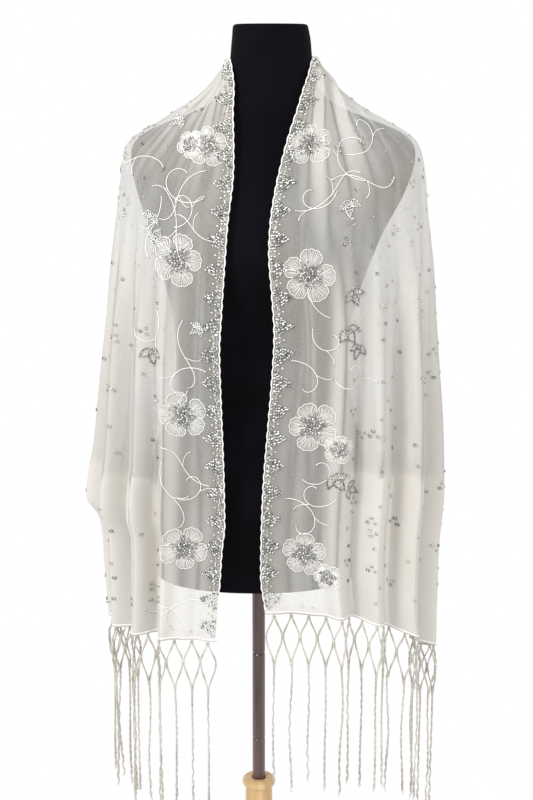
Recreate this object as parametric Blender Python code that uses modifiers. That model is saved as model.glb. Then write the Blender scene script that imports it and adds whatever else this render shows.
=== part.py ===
"""Sheer embroidered shawl with knotted fringe, draped over a limbless dress form on a turned wooden stand.

Metres, +Z up, the front towards -Y. The origin is on the floor, under the middle of the pole.
Heights in the tables are measured from the form's flat underside; "side" is -1 for the wearer's
right (the viewer's left) and +1 for the wearer's left.
"""

import math

import bmesh
import bpy
import numpy as np
from mathutils import Vector
from mathutils.bvhtree import BVHTree

# Driving dimensions
FORM_BOTTOM = 0.780
CLOTH_WALL = 0.0012
FORM_CLEARANCE = 0.0010
SEAM_GAP = 0.0003

POLE_RADIUS = 0.0095
POLE_SEAT_DEPTH = 0.040
SOCKET_TOP = 0.451
SOCKET_RADIUS = 0.0205
SOCKET_RIM_RADIUS = 0.0252
BASE_RADIUS = 0.170
BASE_HEIGHT = 0.034

TASSEL_PITCH = 0.024
FRINGE_LENGTH = 0.262
KNOT_ROW_1 = 0.036
KNOT_ROW_2 = 0.078
STRIP_HEIGHT = 0.004
STRIP_GAP = 0.0006
STRAND_WIDTH = 0.0024
STRAND_THICKNESS = 0.0016

# The dress form, one row for each level from the underside up. Columns: height, half width,
# depth in front and behind, and the middle's place across the body
FORM_LEVELS = (
    (0.0000, 0.1480, 0.102, 0.112, -0.003),
    (0.0600, 0.1523, 0.107, 0.120, -0.004),
    (0.1350, 0.1535, 0.106, 0.122, -0.004),
    (0.1840, 0.1490, 0.100, 0.116, -0.001),
    (0.2417, 0.1340, 0.090, 0.100, 0.003),
    (0.3164, 0.1222, 0.080, 0.088, 0.005),
    (0.3671, 0.1250, 0.087, 0.088, 0.006),
    (0.4058, 0.1325, 0.101, 0.092, 0.007),
    (0.4385, 0.1420, 0.112, 0.096, 0.008),
    (0.4710, 0.1525, 0.116, 0.099, 0.010),
    (0.5033, 0.1640, 0.110, 0.101, 0.012),
    (0.5450, 0.1820, 0.093, 0.101, 0.017),
    (0.5850, 0.1945, 0.078, 0.096, 0.020),
    (0.6090, 0.1965, 0.068, 0.088, 0.021),
    (0.6255, 0.1900, 0.061, 0.081, 0.021),
    (0.6380, 0.1740, 0.056, 0.075, 0.021),
    (0.6492, 0.1490, 0.053, 0.069, 0.020),
    (0.6595, 0.1210, 0.052, 0.063, 0.020),
    (0.6715, 0.0930, 0.052, 0.058, 0.019),
    (0.6870, 0.0710, 0.051, 0.055, 0.019),
    (0.7050, 0.0605, 0.050, 0.053, 0.019),
    (0.7366, 0.0560, 0.049, 0.051, 0.018),
    (0.7605, 0.0538, 0.048, 0.049, 0.018),
    (0.7770, 0.0515, 0.046, 0.047, 0.017),
)
FORM_TOP = 0.7816
FORM_SQUARENESS = 2.15
FORM_SEGMENTS = 40

# The cloth's rings, one row for each share of the way from the neck edge to the hem. Columns: share,
# the front edge's place across the body, the widest place, the depth in front and behind, and the
# heights in front, at the side and behind
RINGS_RIGHT = (
    (0.000, -0.0362, -0.0412, 0.030, 0.062, 0.7350, 0.7350, 0.738),
    (0.050, -0.0315, -0.0600, 0.050, 0.068, 0.6954, 0.7030, 0.699),
    (0.090, -0.0328, -0.0856, 0.062, 0.078, 0.6638, 0.6820, 0.668),
    (0.120, -0.0322, -0.1077, 0.070, 0.088, 0.6400, 0.6700, 0.644),
    (0.150, -0.0318, -0.1298, 0.077, 0.097, 0.6163, 0.6560, 0.620),
    (0.180, -0.0320, -0.1521, 0.084, 0.104, 0.5925, 0.6430, 0.597),
    (0.210, -0.0335, -0.1743, 0.093, 0.110, 0.5688, 0.6290, 0.573),
    (0.235, -0.0360, -0.1850, 0.100, 0.113, 0.5490, 0.6120, 0.553),
    (0.270, -0.0395, -0.1890, 0.112, 0.115, 0.5213, 0.5810, 0.526),
    (0.330, -0.0430, -0.1945, 0.124, 0.116, 0.4738, 0.5290, 0.478),
    (0.410, -0.0475, -0.2014, 0.128, 0.116, 0.4105, 0.4580, 0.415),
    (0.490, -0.0510, -0.2045, 0.128, 0.118, 0.3471, 0.3880, 0.352),
    (0.590, -0.0490, -0.2120, 0.128, 0.124, 0.2680, 0.3000, 0.273),
    (0.690, -0.0465, -0.2215, 0.129, 0.131, 0.1888, 0.2120, 0.194),
    (0.790, -0.0455, -0.2350, 0.130, 0.137, 0.1097, 0.1240, 0.115),
    (0.830, -0.0490, -0.2170, 0.131, 0.140, 0.0780, 0.0900, 0.083),
    (0.920, -0.0540, -0.2110, 0.131, 0.142, 0.0068, 0.0100, 0.012),
    (1.000, -0.0585, -0.2080, 0.132, 0.144, -0.0565, -0.0600, -0.050),
)
RINGS_LEFT = (
    (0.000, 0.0730, 0.0785, 0.030, 0.062, 0.7350, 0.7380, 0.738),
    (0.030, 0.0670, 0.0903, 0.044, 0.066, 0.7125, 0.7180, 0.715),
    (0.060, 0.0590, 0.1045, 0.056, 0.071, 0.6900, 0.7020, 0.691),
    (0.090, 0.0520, 0.1230, 0.064, 0.079, 0.6675, 0.6860, 0.668),
    (0.120, 0.0440, 0.1430, 0.071, 0.088, 0.6450, 0.6710, 0.644),
    (0.150, 0.0370, 0.1640, 0.078, 0.097, 0.6225, 0.6600, 0.620),
    (0.180, 0.0310, 0.1840, 0.085, 0.104, 0.6000, 0.6490, 0.597),
    (0.210, 0.0255, 0.2040, 0.094, 0.110, 0.5775, 0.6370, 0.573),
    (0.240, 0.0210, 0.2210, 0.102, 0.113, 0.5550, 0.6210, 0.549),
    (0.280, 0.0165, 0.2300, 0.114, 0.115, 0.5250, 0.5850, 0.518),
    (0.335, 0.0145, 0.2356, 0.124, 0.116, 0.4838, 0.5300, 0.474),
    (0.410, 0.0185, 0.2415, 0.128, 0.116, 0.4275, 0.4600, 0.415),
    (0.480, 0.0215, 0.2430, 0.128, 0.118, 0.3750, 0.3900, 0.360),
    (0.570, 0.0180, 0.2480, 0.128, 0.123, 0.3075, 0.3020, 0.289),
    (0.660, 0.0125, 0.2540, 0.129, 0.129, 0.2400, 0.2150, 0.217),
    (0.755, 0.0070, 0.2575, 0.130, 0.135, 0.1688, 0.1240, 0.142),
    (0.835, 0.0045, 0.2520, 0.131, 0.140, 0.1088, 0.0470, 0.079),
    (0.930, 0.0035, 0.2510, 0.131, 0.142, 0.0375, -0.0450, 0.004),
    (1.000, 0.0100, 0.2500, 0.131, 0.144, -0.0150, -0.1100, -0.050),
)
BACK_CENTRE = 0.012
RING_SQUARENESS = 2.5
SAMPLES_ALONG_RING = 120

# The lower edge. Columns: place on the way from the front edge to the centre back, share of the drop
EDGE_RIGHT = ((0.0, 1.0), (0.435, 1.0), (0.465, 0.80), (0.55, 0.79), (0.72, 0.80), (1.0, 0.855))
EDGE_LEFT = ((0.0, 1.0), (0.485, 1.0), (0.515, 0.77), (0.60, 0.76), (0.75, 0.79), (1.0, 0.855))
CORNER_PLACE = {-1: 0.435, 1: 0.485}
SPLIT_PLACE = {-1: 0.495, 1: 0.545}

# Folds. Columns: place along the ring, height of the crest (a trough is negative), half width as a
# share of the ring, the shares of the drop where the fold begins and is full, lean along its length
FOLDS_RIGHT = (
    (0.060, -0.0050, 0.022, 0.50, 0.90, 0.00),
    (0.148, 0.0120, 0.022, 0.28, 0.60, 0.00),
    (0.186, -0.0190, 0.021, 0.42, 0.75, 0.00),
    (0.225, 0.0150, 0.022, 0.25, 0.62, 0.01),
    (0.268, -0.0190, 0.022, 0.22, 0.70, 0.01),
    (0.312, 0.0150, 0.022, 0.24, 0.60, 0.01),
    (0.355, -0.0180, 0.021, 0.25, 0.70, 0.01),
    (0.398, 0.0130, 0.022, 0.22, 0.66, 0.00),
    (0.452, -0.0100, 0.024, 0.26, 0.80, 0.00),
    (0.560, -0.0120, 0.030, 0.28, 0.75, 0.00),
    (0.620, 0.0110, 0.028, 0.24, 0.70, 0.00),
    (0.680, -0.0120, 0.028, 0.22, 0.70, 0.01),
    (0.742, 0.0110, 0.028, 0.20, 0.70, 0.00),
    (0.805, -0.0100, 0.028, 0.24, 0.75, -0.01),
    (0.868, 0.0110, 0.030, 0.15, 0.70, 0.00),
    (0.935, -0.0080, 0.028, 0.12, 0.65, 0.00),
)
FOLDS_LEFT = (
    (0.060, -0.0040, 0.025, 0.40, 0.90, 0.00),
    (0.165, 0.0120, 0.020, 0.26, 0.55, 0.00),
    (0.205, -0.0150, 0.022, 0.34, 0.70, 0.00),
    (0.250, 0.0120, 0.024, 0.24, 0.60, 0.01),
    (0.298, -0.0170, 0.024, 0.24, 0.66, 0.01),
    (0.345, 0.0150, 0.022, 0.22, 0.60, 0.01),
    (0.388, -0.0180, 0.022, 0.25, 0.70, 0.01),
    (0.432, 0.0140, 0.022, 0.22, 0.66, 0.00),
    (0.476, -0.0120, 0.020, 0.26, 0.75, 0.00),
    (0.590, -0.0120, 0.030, 0.28, 0.75, 0.00),
    (0.650, 0.0110, 0.028, 0.24, 0.70, 0.00),
    (0.710, -0.0120, 0.028, 0.22, 0.70, 0.01),
    (0.768, 0.0110, 0.028, 0.20, 0.70, 0.00),
    (0.826, -0.0100, 0.028, 0.24, 0.75, -0.01),
    (0.882, 0.0110, 0.028, 0.15, 0.70, 0.00),
    (0.940, -0.0080, 0.026, 0.12, 0.65, 0.00),
)
# Gathers that run from the neck edge over the shoulder and die out on the chest and back.
# Columns: place, crest, half width, share of the drop where it has died out
GATHERS_RIGHT = (
    (0.10, 0.006, 0.028, 0.30),
    (0.20, -0.004, 0.025, 0.26),
    (0.30, 0.004, 0.030, 0.24),
    (0.72, 0.004, 0.030, 0.40),
)
GATHERS_LEFT = (
    (0.09, -0.004, 0.020, 0.36),
    (0.14, 0.008, 0.022, 0.42),
    (0.20, -0.005, 0.022, 0.36),
    (0.26, 0.006, 0.024, 0.34),
    (0.34, -0.003, 0.025, 0.28),
    (0.74, 0.004, 0.030, 0.40),
)

# Embroidered flowers. Columns: side, place along the ring, share of the drop, radius, turn in degrees
FLOWERS = (
    (-1, 0.120, 0.145, 0.0220, 10),
    (-1, 0.130, 0.340, 0.0300, 30),
    (-1, 0.103, 0.600, 0.0290, 0),
    (-1, 0.098, 0.835, 0.0280, 50),
    (1, 0.088, 0.150, 0.0250, 20),
    (1, 0.090, 0.375, 0.0300, 5),
    (1, 0.098, 0.645, 0.0290, 40),
    (1, 0.095, 0.885, 0.0270, 15),
    (-1, 0.640, 0.690, 0.0260, 25),
    (-1, 0.840, 0.730, 0.0280, 60),
    (1, 0.980, 0.760, 0.0280, 10),
    (1, 0.800, 0.720, 0.0270, 35),
)
FLOWER_THICKNESS = 0.0010
FLOWER_GAP = 0.0004
FLOWER_SPOKES = 20
FLOWER_SEARCH = 0.03

COLOURS = {
    "ivory_net": ((0.86, 0.84, 0.79, 1.0), 0.75),
    "ivory_silk": ((0.90, 0.88, 0.83, 1.0), 0.55),
    "fringe_yarn": ((0.74, 0.71, 0.64, 1.0), 0.70),
    "black_jersey": ((0.012, 0.012, 0.016, 1.0), 0.85),
    "dark_wood": ((0.10, 0.055, 0.040, 1.0), 0.35),
    "light_wood": ((0.62, 0.42, 0.20, 1.0), 0.40),
}


def smooth_step(value):
    t = np.clip(value, 0.0, 1.0)
    return t * t * (3.0 - 2.0 * t)


def smooth_columns(rows, at):
    """Every column of a table, read at the given values of its first column along a smooth curve."""
    table = np.array(rows, float)
    x, y = table[:, 0], table[:, 1:]
    slope = np.diff(y, axis=0) / np.diff(x)[:, None]
    tangent = np.vstack([slope[:1], 0.5 * (slope[:-1] + slope[1:]), slope[-1:]])
    tangent[1:-1][slope[:-1] * slope[1:] <= 0.0] = 0.0
    limit = 3.0 * np.minimum(np.abs(np.vstack([slope[:1], slope])), np.abs(np.vstack([slope, slope[-1:]])))
    tangent = np.clip(tangent, -limit, limit)
    at = np.clip(np.asarray(at, float), x[0], x[-1])
    i = np.clip(np.searchsorted(x, at, side="right") - 1, 0, len(x) - 2)
    step = (x[i + 1] - x[i])[..., None]
    t = ((at - x[i])[..., None]) / step
    return (
        (2 * t**3 - 3 * t**2 + 1) * y[i]
        + (t**3 - 2 * t**2 + t) * step * tangent[i]
        + (3 * t**2 - 2 * t**3) * y[i + 1]
        + (t**3 - t**2) * step * tangent[i + 1]
    )


def form_reach(points):
    """How far out each point lies from the form's middle line, where 1 is on the form's surface."""
    rows = smooth_columns(FORM_LEVELS, points[:, 2] - FORM_BOTTOM)
    half_width, front, back, centre = rows.T
    depth = np.where(points[:, 1] < 0.0, front, back)
    across = np.abs(points[:, 0] - centre) / half_width
    along = np.abs(points[:, 1]) / depth
    return (across**FORM_SQUARENESS + along**FORM_SQUARENESS) ** (1.0 / FORM_SQUARENESS)


def clear_of_form(points, clearance):
    """Points moved out along the form's slope where they lie nearer to it than the clearance."""
    points = points.copy()
    probe = 0.0005
    for _ in range(6):
        reach = form_reach(points)
        slope = np.stack(
            [(form_reach(points + probe * axis) - reach) / probe for axis in np.eye(3)], axis=1
        )
        steepness = np.maximum(np.linalg.norm(slope, axis=1), 1e-6)
        short = clearance - (reach - 1.0) / steepness
        move = np.where((short > 0.0) & (points[:, 2] < FORM_BOTTOM + FORM_TOP), short, 0.0)
        points += (move / steepness)[:, None] * slope
    return points


def ring_outline(row):
    """One ring of the smooth cloth seen from above: points evenly spaced from front edge to centre back."""
    inner, side, front, back, front_height, side_height, back_height = row
    sign = 1.0 if side > 0.0 else -1.0
    middle = BACK_CENTRE
    half = abs(side - middle)
    start = math.asin(min(0.995, max(0.0, sign * (inner - middle) / half)) ** (RING_SQUARENESS / 2.0))
    angle = np.linspace(start, math.pi, SAMPLES_ALONG_RING)
    power = 2.0 / RING_SQUARENESS
    across = np.abs(np.sin(angle)) ** power
    along = np.abs(np.cos(angle)) ** power
    x = middle + sign * half * across
    y = np.where(angle < math.pi / 2, -front, back) * along
    if sign * (inner - middle) < 0.0:
        x = x + (inner - middle) * (1.0 - smooth_step((angle - start) / 0.5))
    toward_front = np.maximum(np.cos(angle), 0.0) ** 1.3
    toward_back = np.maximum(-np.cos(angle), 0.0) ** 1.3
    height = side_height + (front_height - side_height) * toward_front
    height += (back_height - side_height) * toward_back
    points = np.stack([x, y, height + FORM_BOTTOM], axis=1)
    length = np.concatenate([[0.0], np.cumsum(np.linalg.norm(np.diff(points[:, :2], axis=0), axis=1))])
    return points, length / length[-1], length[-1]


def read_line(points, along, at):
    return np.stack([np.interp(at, along, points[:, k]) for k in range(3)], axis=1)


def fold_height(side, place, share):
    """How far the cloth stands out of its smooth ring at each place and share of the drop."""
    out = np.zeros_like(place)
    for at, crest, half_width, begins, full, drift in FOLDS_RIGHT if side < 0 else FOLDS_LEFT:
        nearness = np.exp(-(((place - at - drift * (1.0 - share)) / half_width) ** 2))
        out += crest * nearness * smooth_step((share - begins) / (full - begins))
    for at, crest, half_width, dies_out in GATHERS_RIGHT if side < 0 else GATHERS_LEFT:
        nearness = np.exp(-(((place - at) / half_width) ** 2))
        grown = smooth_step(share / 0.05) * (1.0 - smooth_step((share - 0.4 * dies_out) / (0.6 * dies_out)))
        out += crest * nearness * grown
    return out


def edge_share(side, place):
    table = np.array(EDGE_RIGHT if side < 0 else EDGE_LEFT)
    return np.interp(place, table[:, 0], table[:, 1])


def cloth_points(side, places, shares, clearance=FORM_CLEARANCE):
    """The draped cloth's inner face: a row of points for each share of the drop, a column for each place."""
    rings = RINGS_RIGHT if side < 0 else RINGS_LEFT
    grid = np.zeros((len(shares), len(places), 3))
    for j, drop in enumerate(shares):
        down = drop * edge_share(side, places)
        for i, (place, share) in enumerate(zip(places, down)):
            grid[j, i] = cloth_point(rings, side, place, share)
    flat = clear_of_form(grid.reshape(-1, 3), clearance)
    return flat.reshape(grid.shape)


RING_CACHE = {}


def outline_at(rings, side, share):
    key = (side, round(float(share), 5))
    if key not in RING_CACHE:
        RING_CACHE[key] = ring_outline(smooth_columns(rings, np.array([share]))[0])
    return RING_CACHE[key]


def cloth_point(rings, side, place, share):
    points, along, _ = outline_at(rings, side, share)
    step = 0.01
    spots = np.array([place, max(0.0, place - step), min(1.0, place + step)])
    here, before, after = read_line(points, along, spots)
    run = after - before
    outward = np.array([run[1], -run[0], 0.0]) * side
    outward /= np.linalg.norm(outward)
    return here + outward * fold_height(side, np.array([place]), np.array([share]))[0]


def collection(name):
    made = bpy.data.collections.new(name)
    bpy.context.scene.collection.children.link(made)
    return made


def material(name):
    colour, roughness = COLOURS[name]
    made = bpy.data.materials.get(name) or bpy.data.materials.new(name)
    made.use_nodes = True
    shader = made.node_tree.nodes["Principled BSDF"]
    shader.inputs["Base Color"].default_value = colour
    shader.inputs["Roughness"].default_value = roughness
    made.diffuse_color = colour
    return made


def add_object(name, mesh, finish, smooth_angle=40.0):
    made = bpy.data.objects.new(name, mesh)
    PARTS.objects.link(made)
    mesh.materials.append(material(finish))
    mesh.shade_smooth()
    mesh.set_sharp_from_angle(angle=math.radians(smooth_angle))
    return made


def grid_mesh(name, grid):
    """A mesh grid laid over rows and columns of points."""
    rows, columns = grid.shape[:2]
    shape = bmesh.new()
    bmesh.ops.create_grid(shape, x_segments=columns - 1, y_segments=rows - 1, size=0.5)
    shape.verts.ensure_lookup_table()
    for vert in shape.verts:
        i = round((vert.co.x + 0.5) * (columns - 1))
        j = round((vert.co.y + 0.5) * (rows - 1))
        vert.co = Vector(grid[j, i])
    mesh = bpy.data.meshes.new(name)
    shape.to_mesh(mesh)
    shape.free()
    return mesh


def cloth_wall(name, grid, finish, flip):
    """A wall of cloth: the grid is its inner face, and the thickness is added outwards."""
    mesh = grid_mesh(name, grid)
    if flip:
        mesh.flip_normals()
    wall = add_object(name, mesh, finish, smooth_angle=60.0)
    solid = wall.modifiers.new("wall", "SOLIDIFY")
    solid.thickness = CLOTH_WALL
    solid.offset = 1.0
    return wall


SEAM_SHARE = 0.0004
FRONT_COLUMNS = 34
BACK_COLUMNS = 20
DROP_LEVELS = np.array(
    (0.0, 0.03, 0.06, 0.09, 0.12, 0.15, 0.18, 0.21, 0.24, 0.275)
    + (0.33, 0.40, 0.48, 0.57, 0.67, 0.785, 0.825, 0.90, 1.0)
)


def front_places(side):
    """Columns from the front edge to the seam line: even up to the corner, then close together."""
    corner = CORNER_PLACE[side]
    even = np.linspace(0.0, corner, FRONT_COLUMNS - 3)
    return np.concatenate([even, [corner + 0.01, corner + 0.02, corner + 0.03, SPLIT_PLACE[side]]])


def build_shawl():
    fronts = {}
    for side, name in ((-1, "shawl_right_front"), (1, "shawl_left_front")):
        places = front_places(side)
        places[-1] -= SEAM_SHARE
        grid = cloth_points(side, places, DROP_LEVELS)
        fronts[side] = cloth_wall(name, grid, "ivory_net", flip=side > 0)
    halves = []
    for side in (-1, 1):
        places = np.linspace(SPLIT_PLACE[side] + SEAM_SHARE, 1.0, BACK_COLUMNS + 1)
        halves.append(cloth_points(side, places, DROP_LEVELS))
    middle = 0.5 * (halves[0][:, -1:] + halves[1][:, -1:])
    back = np.concatenate([halves[0][:, :-1], middle, halves[1][:, -2::-1]], axis=1)
    return fronts, cloth_wall("shawl_back", back, "ivory_net", flip=False)


def hem_line(side):
    """The folded hem's points, from the front edge to the outer corner, with their distances along it."""
    places = front_places(side)
    places = places[places <= CORNER_PLACE[side] + 1e-9]
    points = cloth_points(side, places, np.array([1.0]))[0]
    length = np.concatenate([[0.0], np.cumsum(np.linalg.norm(np.diff(points[:, :2], axis=0), axis=1))])
    return points, length


def strand_path(half, pitch, ends_at):
    """A strand's way down: how far to the side of its tassel's middle, and how far down, at each turn."""
    apart = half * (0.5 * pitch - 0.5 * STRAND_WIDTH - 0.0004)
    close = half * (0.5 * STRAND_WIDTH + 0.00035)
    return ((apart, KNOT_ROW_1), (close, KNOT_ROW_2), (close, 0.5 * (KNOT_ROW_2 + ends_at)), (close, ends_at))


def under_hem(side, line, length, at, drop, out):
    """A point below the hem: how far along it, how far down, and how far out of the cloth's middle."""
    at = min(max(at, 0.0), length[-1])
    reach = 0.002
    spots = np.array([at, max(0.0, at - reach), min(length[-1], at + reach)])
    here, before, after = read_line(line, length, spots)
    run = after - before
    outward = np.array([run[1], -run[0], 0.0]) * side
    outward /= np.linalg.norm(outward)
    return Vector(here + outward * (0.5 * CLOTH_WALL + out) - np.array([0.0, 0.0, drop + STRIP_GAP]))


def build_fringe(side, name):
    """A narrow strip under the hem, with pairs of flat strands that meet in diamonds and hang as tails."""
    line, length = hem_line(side)
    tassels = int(length[-1] // TASSEL_PITCH)
    pitch = length[-1] / tassels
    chance = np.random.default_rng(7 + side)
    ends = FRINGE_LENGTH + chance.uniform(-0.016, 0.010, tassels)
    half_width = 0.5 * STRAND_WIDTH
    half_thick = 0.5 * STRAND_THICKNESS
    marks, strands = [0.0], {}
    for tassel in range(tassels):
        middle = (tassel + 0.5) * pitch
        for half in (-1, 1):
            root = middle + half * (half_width + 0.00035)
            if half < 0:
                marks.append(0.5 * (marks[-1] + root - half_width))
            strands[len(marks)] = (middle, half, ends[tassel])
            marks += [root - half_width, root + half_width]
    marks.append(length[-1])
    shape = bmesh.new()

    def ring_of(spots):
        return [shape.verts.new(under_hem(side, line, length, *spot)) for spot in spots]

    def join(ring, other, leave_out=None):
        for k in range(4):
            if k != leave_out:
                shape.faces.new((ring[k], other[k], other[(k + 1) % 4], ring[(k + 1) % 4]))

    strip = [
        ring_of(
            (
                (at, 0.0, -half_thick),
                (at, 0.0, half_thick),
                (at, STRIP_HEIGHT, half_thick),
                (at, STRIP_HEIGHT, -half_thick),
            )
        )
        for at in marks
    ]
    underside = 2
    for number, (ring, other) in enumerate(zip(strip, strip[1:])):
        join(ring, other, leave_out=underside if number in strands else None)
    shape.faces.new(strip[0])
    shape.faces.new(strip[-1])
    for number, (middle, half, end) in strands.items():
        first, second = strip[number], strip[number + 1]
        ring = [first[2], second[2], second[3], first[3]]
        for across, drop in strand_path(half, pitch, end):
            low, high = middle + across - half_width, middle + across + half_width
            lower = ring_of(
                (
                    (low, drop, half_thick),
                    (high, drop, half_thick),
                    (high, drop, -half_thick),
                    (low, drop, -half_thick),
                )
            )
            join(ring, lower)
            ring = lower
        shape.faces.new(ring)
    bmesh.ops.recalc_face_normals(shape, faces=shape.faces)
    mesh = bpy.data.meshes.new(name)
    shape.to_mesh(mesh)
    shape.free()
    return add_object(name, mesh, "fringe_yarn", smooth_angle=50.0)


def build_flower(number, row, cloth):
    """A five-petalled embroidered flower: a thin pad that follows the cloth's outer face, just off it."""
    side, place, share, radius, turn = row
    rings = RINGS_RIGHT if side < 0 else RINGS_LEFT
    start = clear_of_form(np.array([cloth_point(rings, side, place, share)]), FORM_CLEARANCE)[0]
    centre, outward, _, _ = cloth.find_nearest(Vector(start))
    if outward.dot(Vector((centre.x - BACK_CENTRE, centre.y, 0.0))) < 0.0:
        outward = -outward
    across = Vector((0.0, 0.0, 1.0)).cross(outward).normalized()
    upward = outward.cross(across).normalized()

    def height_at(flat):
        """How far the cloth's outer face stands out from the flower's flat plane."""
        hit, _, _, _ = cloth.ray_cast(flat + outward * FLOWER_SEARCH, -outward, 2.0 * FLOWER_SEARCH)
        return (hit - flat).dot(outward) if hit is not None else 0.0

    rims = []
    for share_out in (0.0, 0.5, 1.0):
        rim = []
        for k in range(1 if share_out == 0.0 else FLOWER_SPOKES):
            angle = 2.0 * math.pi * k / FLOWER_SPOKES
            petal = 0.70 + 0.30 * abs(math.cos(2.5 * angle)) ** 0.6
            way = angle + math.radians(turn)
            toward = across * math.cos(way) + upward * math.sin(way)
            rim.append(centre + toward * (radius * petal * share_out))
        rims.append(rim)
    heart, middle, edge = rims
    corners = [(heart[0], middle[k], middle[(k + 1) % FLOWER_SPOKES]) for k in range(FLOWER_SPOKES)]
    for k in range(FLOWER_SPOKES):
        after = (k + 1) % FLOWER_SPOKES
        corners += [(middle[k], edge[k], edge[after]), (middle[k], edge[after], middle[after])]
    heights = {tuple(spot): height_at(spot) for rim in rims for spot in rim}
    steps = 8
    above = 0.0
    for a, b, c in corners:
        for i in range(steps + 1):
            for j in range(steps + 1 - i):
                u, v = i / steps, j / steps
                w = 1.0 - u - v
                chord = heights[tuple(a)] * u + heights[tuple(b)] * v + heights[tuple(c)] * w
                above = max(above, height_at(a * u + b * v + c * w) - chord)
    shape = bmesh.new()
    layers = []
    gap = FLOWER_GAP + above
    for lift in (gap, gap + FLOWER_THICKNESS):
        layer = {}
        for rim in rims:
            for spot in rim:
                layer[tuple(spot)] = shape.verts.new(spot + outward * (heights[tuple(spot)] + lift))
        layers.append(layer)
    for layer in layers:
        for corner in corners:
            shape.faces.new([layer[tuple(spot)] for spot in corner])
    under, over = layers
    for k in range(FLOWER_SPOKES):
        first, second = tuple(edge[k]), tuple(edge[(k + 1) % FLOWER_SPOKES])
        shape.faces.new((under[first], under[second], over[second], over[first]))
    bmesh.ops.recalc_face_normals(shape, faces=shape.faces)
    name = f"flower_{number:02d}"
    mesh = bpy.data.meshes.new(name)
    shape.to_mesh(mesh)
    shape.free()
    return add_object(name, mesh, "ivory_silk", smooth_angle=50.0)


def build_form():
    """The limbless form: level sections lofted from the underside to the neck cap."""
    levels = [0.0, 0.004, 0.03] + [row[0] for row in FORM_LEVELS[1:]] + [FORM_TOP - 0.0015, FORM_TOP]
    insets = {0: 0.006, len(levels) - 2: 0.0015, len(levels) - 1: 0.006}
    shape = bmesh.new()
    rings = []
    for number, height in enumerate(levels):
        half_width, front, back, centre = smooth_columns(FORM_LEVELS, np.array([height]))[0]
        inset = insets.get(number, 0.0)
        ring = []
        for k in range(FORM_SEGMENTS):
            angle = 2.0 * math.pi * k / FORM_SEGMENTS
            across, along = math.sin(angle), -math.cos(angle)
            depth = (front if along < 0.0 else back) - inset
            power = 2.0 / FORM_SQUARENESS
            x = centre + math.copysign(abs(across) ** power, across) * (half_width - inset)
            y = math.copysign(abs(along) ** power, along) * depth
            ring.append(shape.verts.new((x, y, FORM_BOTTOM + height)))
        rings.append(ring)
    for low, high in zip(rings, rings[1:]):
        for k in range(FORM_SEGMENTS):
            after = (k + 1) % FORM_SEGMENTS
            shape.faces.new((low[k], low[after], high[after], high[k]))
    shape.faces.new(rings[0][::-1])
    shape.faces.new(rings[-1])
    bmesh.ops.recalc_face_normals(shape, faces=shape.faces)
    mesh = bpy.data.meshes.new("dress_form")
    shape.to_mesh(mesh)
    shape.free()
    return add_object("dress_form", mesh, "black_jersey")


def turned(name, profile, finish, steps=28):
    """A turned piece: (radius, height) points from the top down, spun round the pole's line."""
    mesh = bpy.data.meshes.new(name)
    points = [(radius, 0.0, height) for radius, height in profile]
    mesh.from_pydata(points, [(i, i + 1) for i in range(len(points) - 1)], [])
    made = bpy.data.objects.new(name, mesh)
    PARTS.objects.link(made)
    mesh.materials.append(material(finish))
    spin = made.modifiers.new("turned", "SCREW")
    spin.axis = "Z"
    spin.steps = spin.render_steps = steps
    spin.use_merge_vertices = True
    spin.merge_threshold = 0.00001
    spin.use_smooth_shade = True
    return made


def build_stand():
    """The dark pole with its ring grooves, the light socket column that holds it, and a plain round foot."""
    top = FORM_BOTTOM - SEAM_GAP
    groove = 0.0012
    pole = [(0.0, top), (POLE_RADIUS, top)]
    for below in (0.128, 0.265):
        height = FORM_BOTTOM - below
        pole += [(POLE_RADIUS, height + 0.002), (POLE_RADIUS - groove, height), (POLE_RADIUS, height - 0.002)]
    foot = SOCKET_TOP - POLE_SEAT_DEPTH + SEAM_GAP
    pole += [(POLE_RADIUS, foot), (0.0, foot)]
    turned("stand_pole", pole, "dark_wood")
    bore = POLE_RADIUS + SEAM_GAP
    rim = SOCKET_RIM_RADIUS
    turned(
        "stand_socket",
        [
            (0.0, SOCKET_TOP - POLE_SEAT_DEPTH),
            (bore, SOCKET_TOP - POLE_SEAT_DEPTH),
            (bore, SOCKET_TOP - 0.002),
            (bore + 0.003, SOCKET_TOP),
            (rim - 0.005, SOCKET_TOP),
            (rim - 0.001, SOCKET_TOP - 0.003),
            (rim, SOCKET_TOP - 0.007),
            (rim - 0.001, SOCKET_TOP - 0.011),
            (rim - 0.0045, SOCKET_TOP - 0.014),
            (SOCKET_RADIUS, SOCKET_TOP - 0.018),
            (SOCKET_RADIUS, BASE_HEIGHT + 0.020),
            (SOCKET_RADIUS + 0.007, BASE_HEIGHT + 0.012),
            (SOCKET_RADIUS + 0.009, BASE_HEIGHT + SEAM_GAP),
            (0.0, BASE_HEIGHT + SEAM_GAP),
        ],
        "light_wood",
    )
    turned(
        "stand_base",
        [
            (0.0, BASE_HEIGHT),
            (0.055, BASE_HEIGHT),
            (0.070, BASE_HEIGHT - 0.004),
            (BASE_RADIUS - 0.030, BASE_HEIGHT - 0.010),
            (BASE_RADIUS - 0.010, BASE_HEIGHT - 0.014),
            (BASE_RADIUS, BASE_HEIGHT - 0.022),
            (BASE_RADIUS, 0.004),
            (BASE_RADIUS - 0.004, 0.0),
            (0.0, 0.0),
        ],
        "light_wood",
        steps=40,
    )


def outer_faces(objects):
    """One search tree over the built walls, for what lies on them."""
    graph = bpy.context.evaluated_depsgraph_get()
    points, faces = [], []
    for item in objects:
        mesh = item.evaluated_get(graph).to_mesh()
        first = len(points)
        points += [vert.co.copy() for vert in mesh.vertices]
        faces += [tuple(first + k for k in face.vertices) for face in mesh.polygons]
    return BVHTree.FromPolygons(points, faces)


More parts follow.
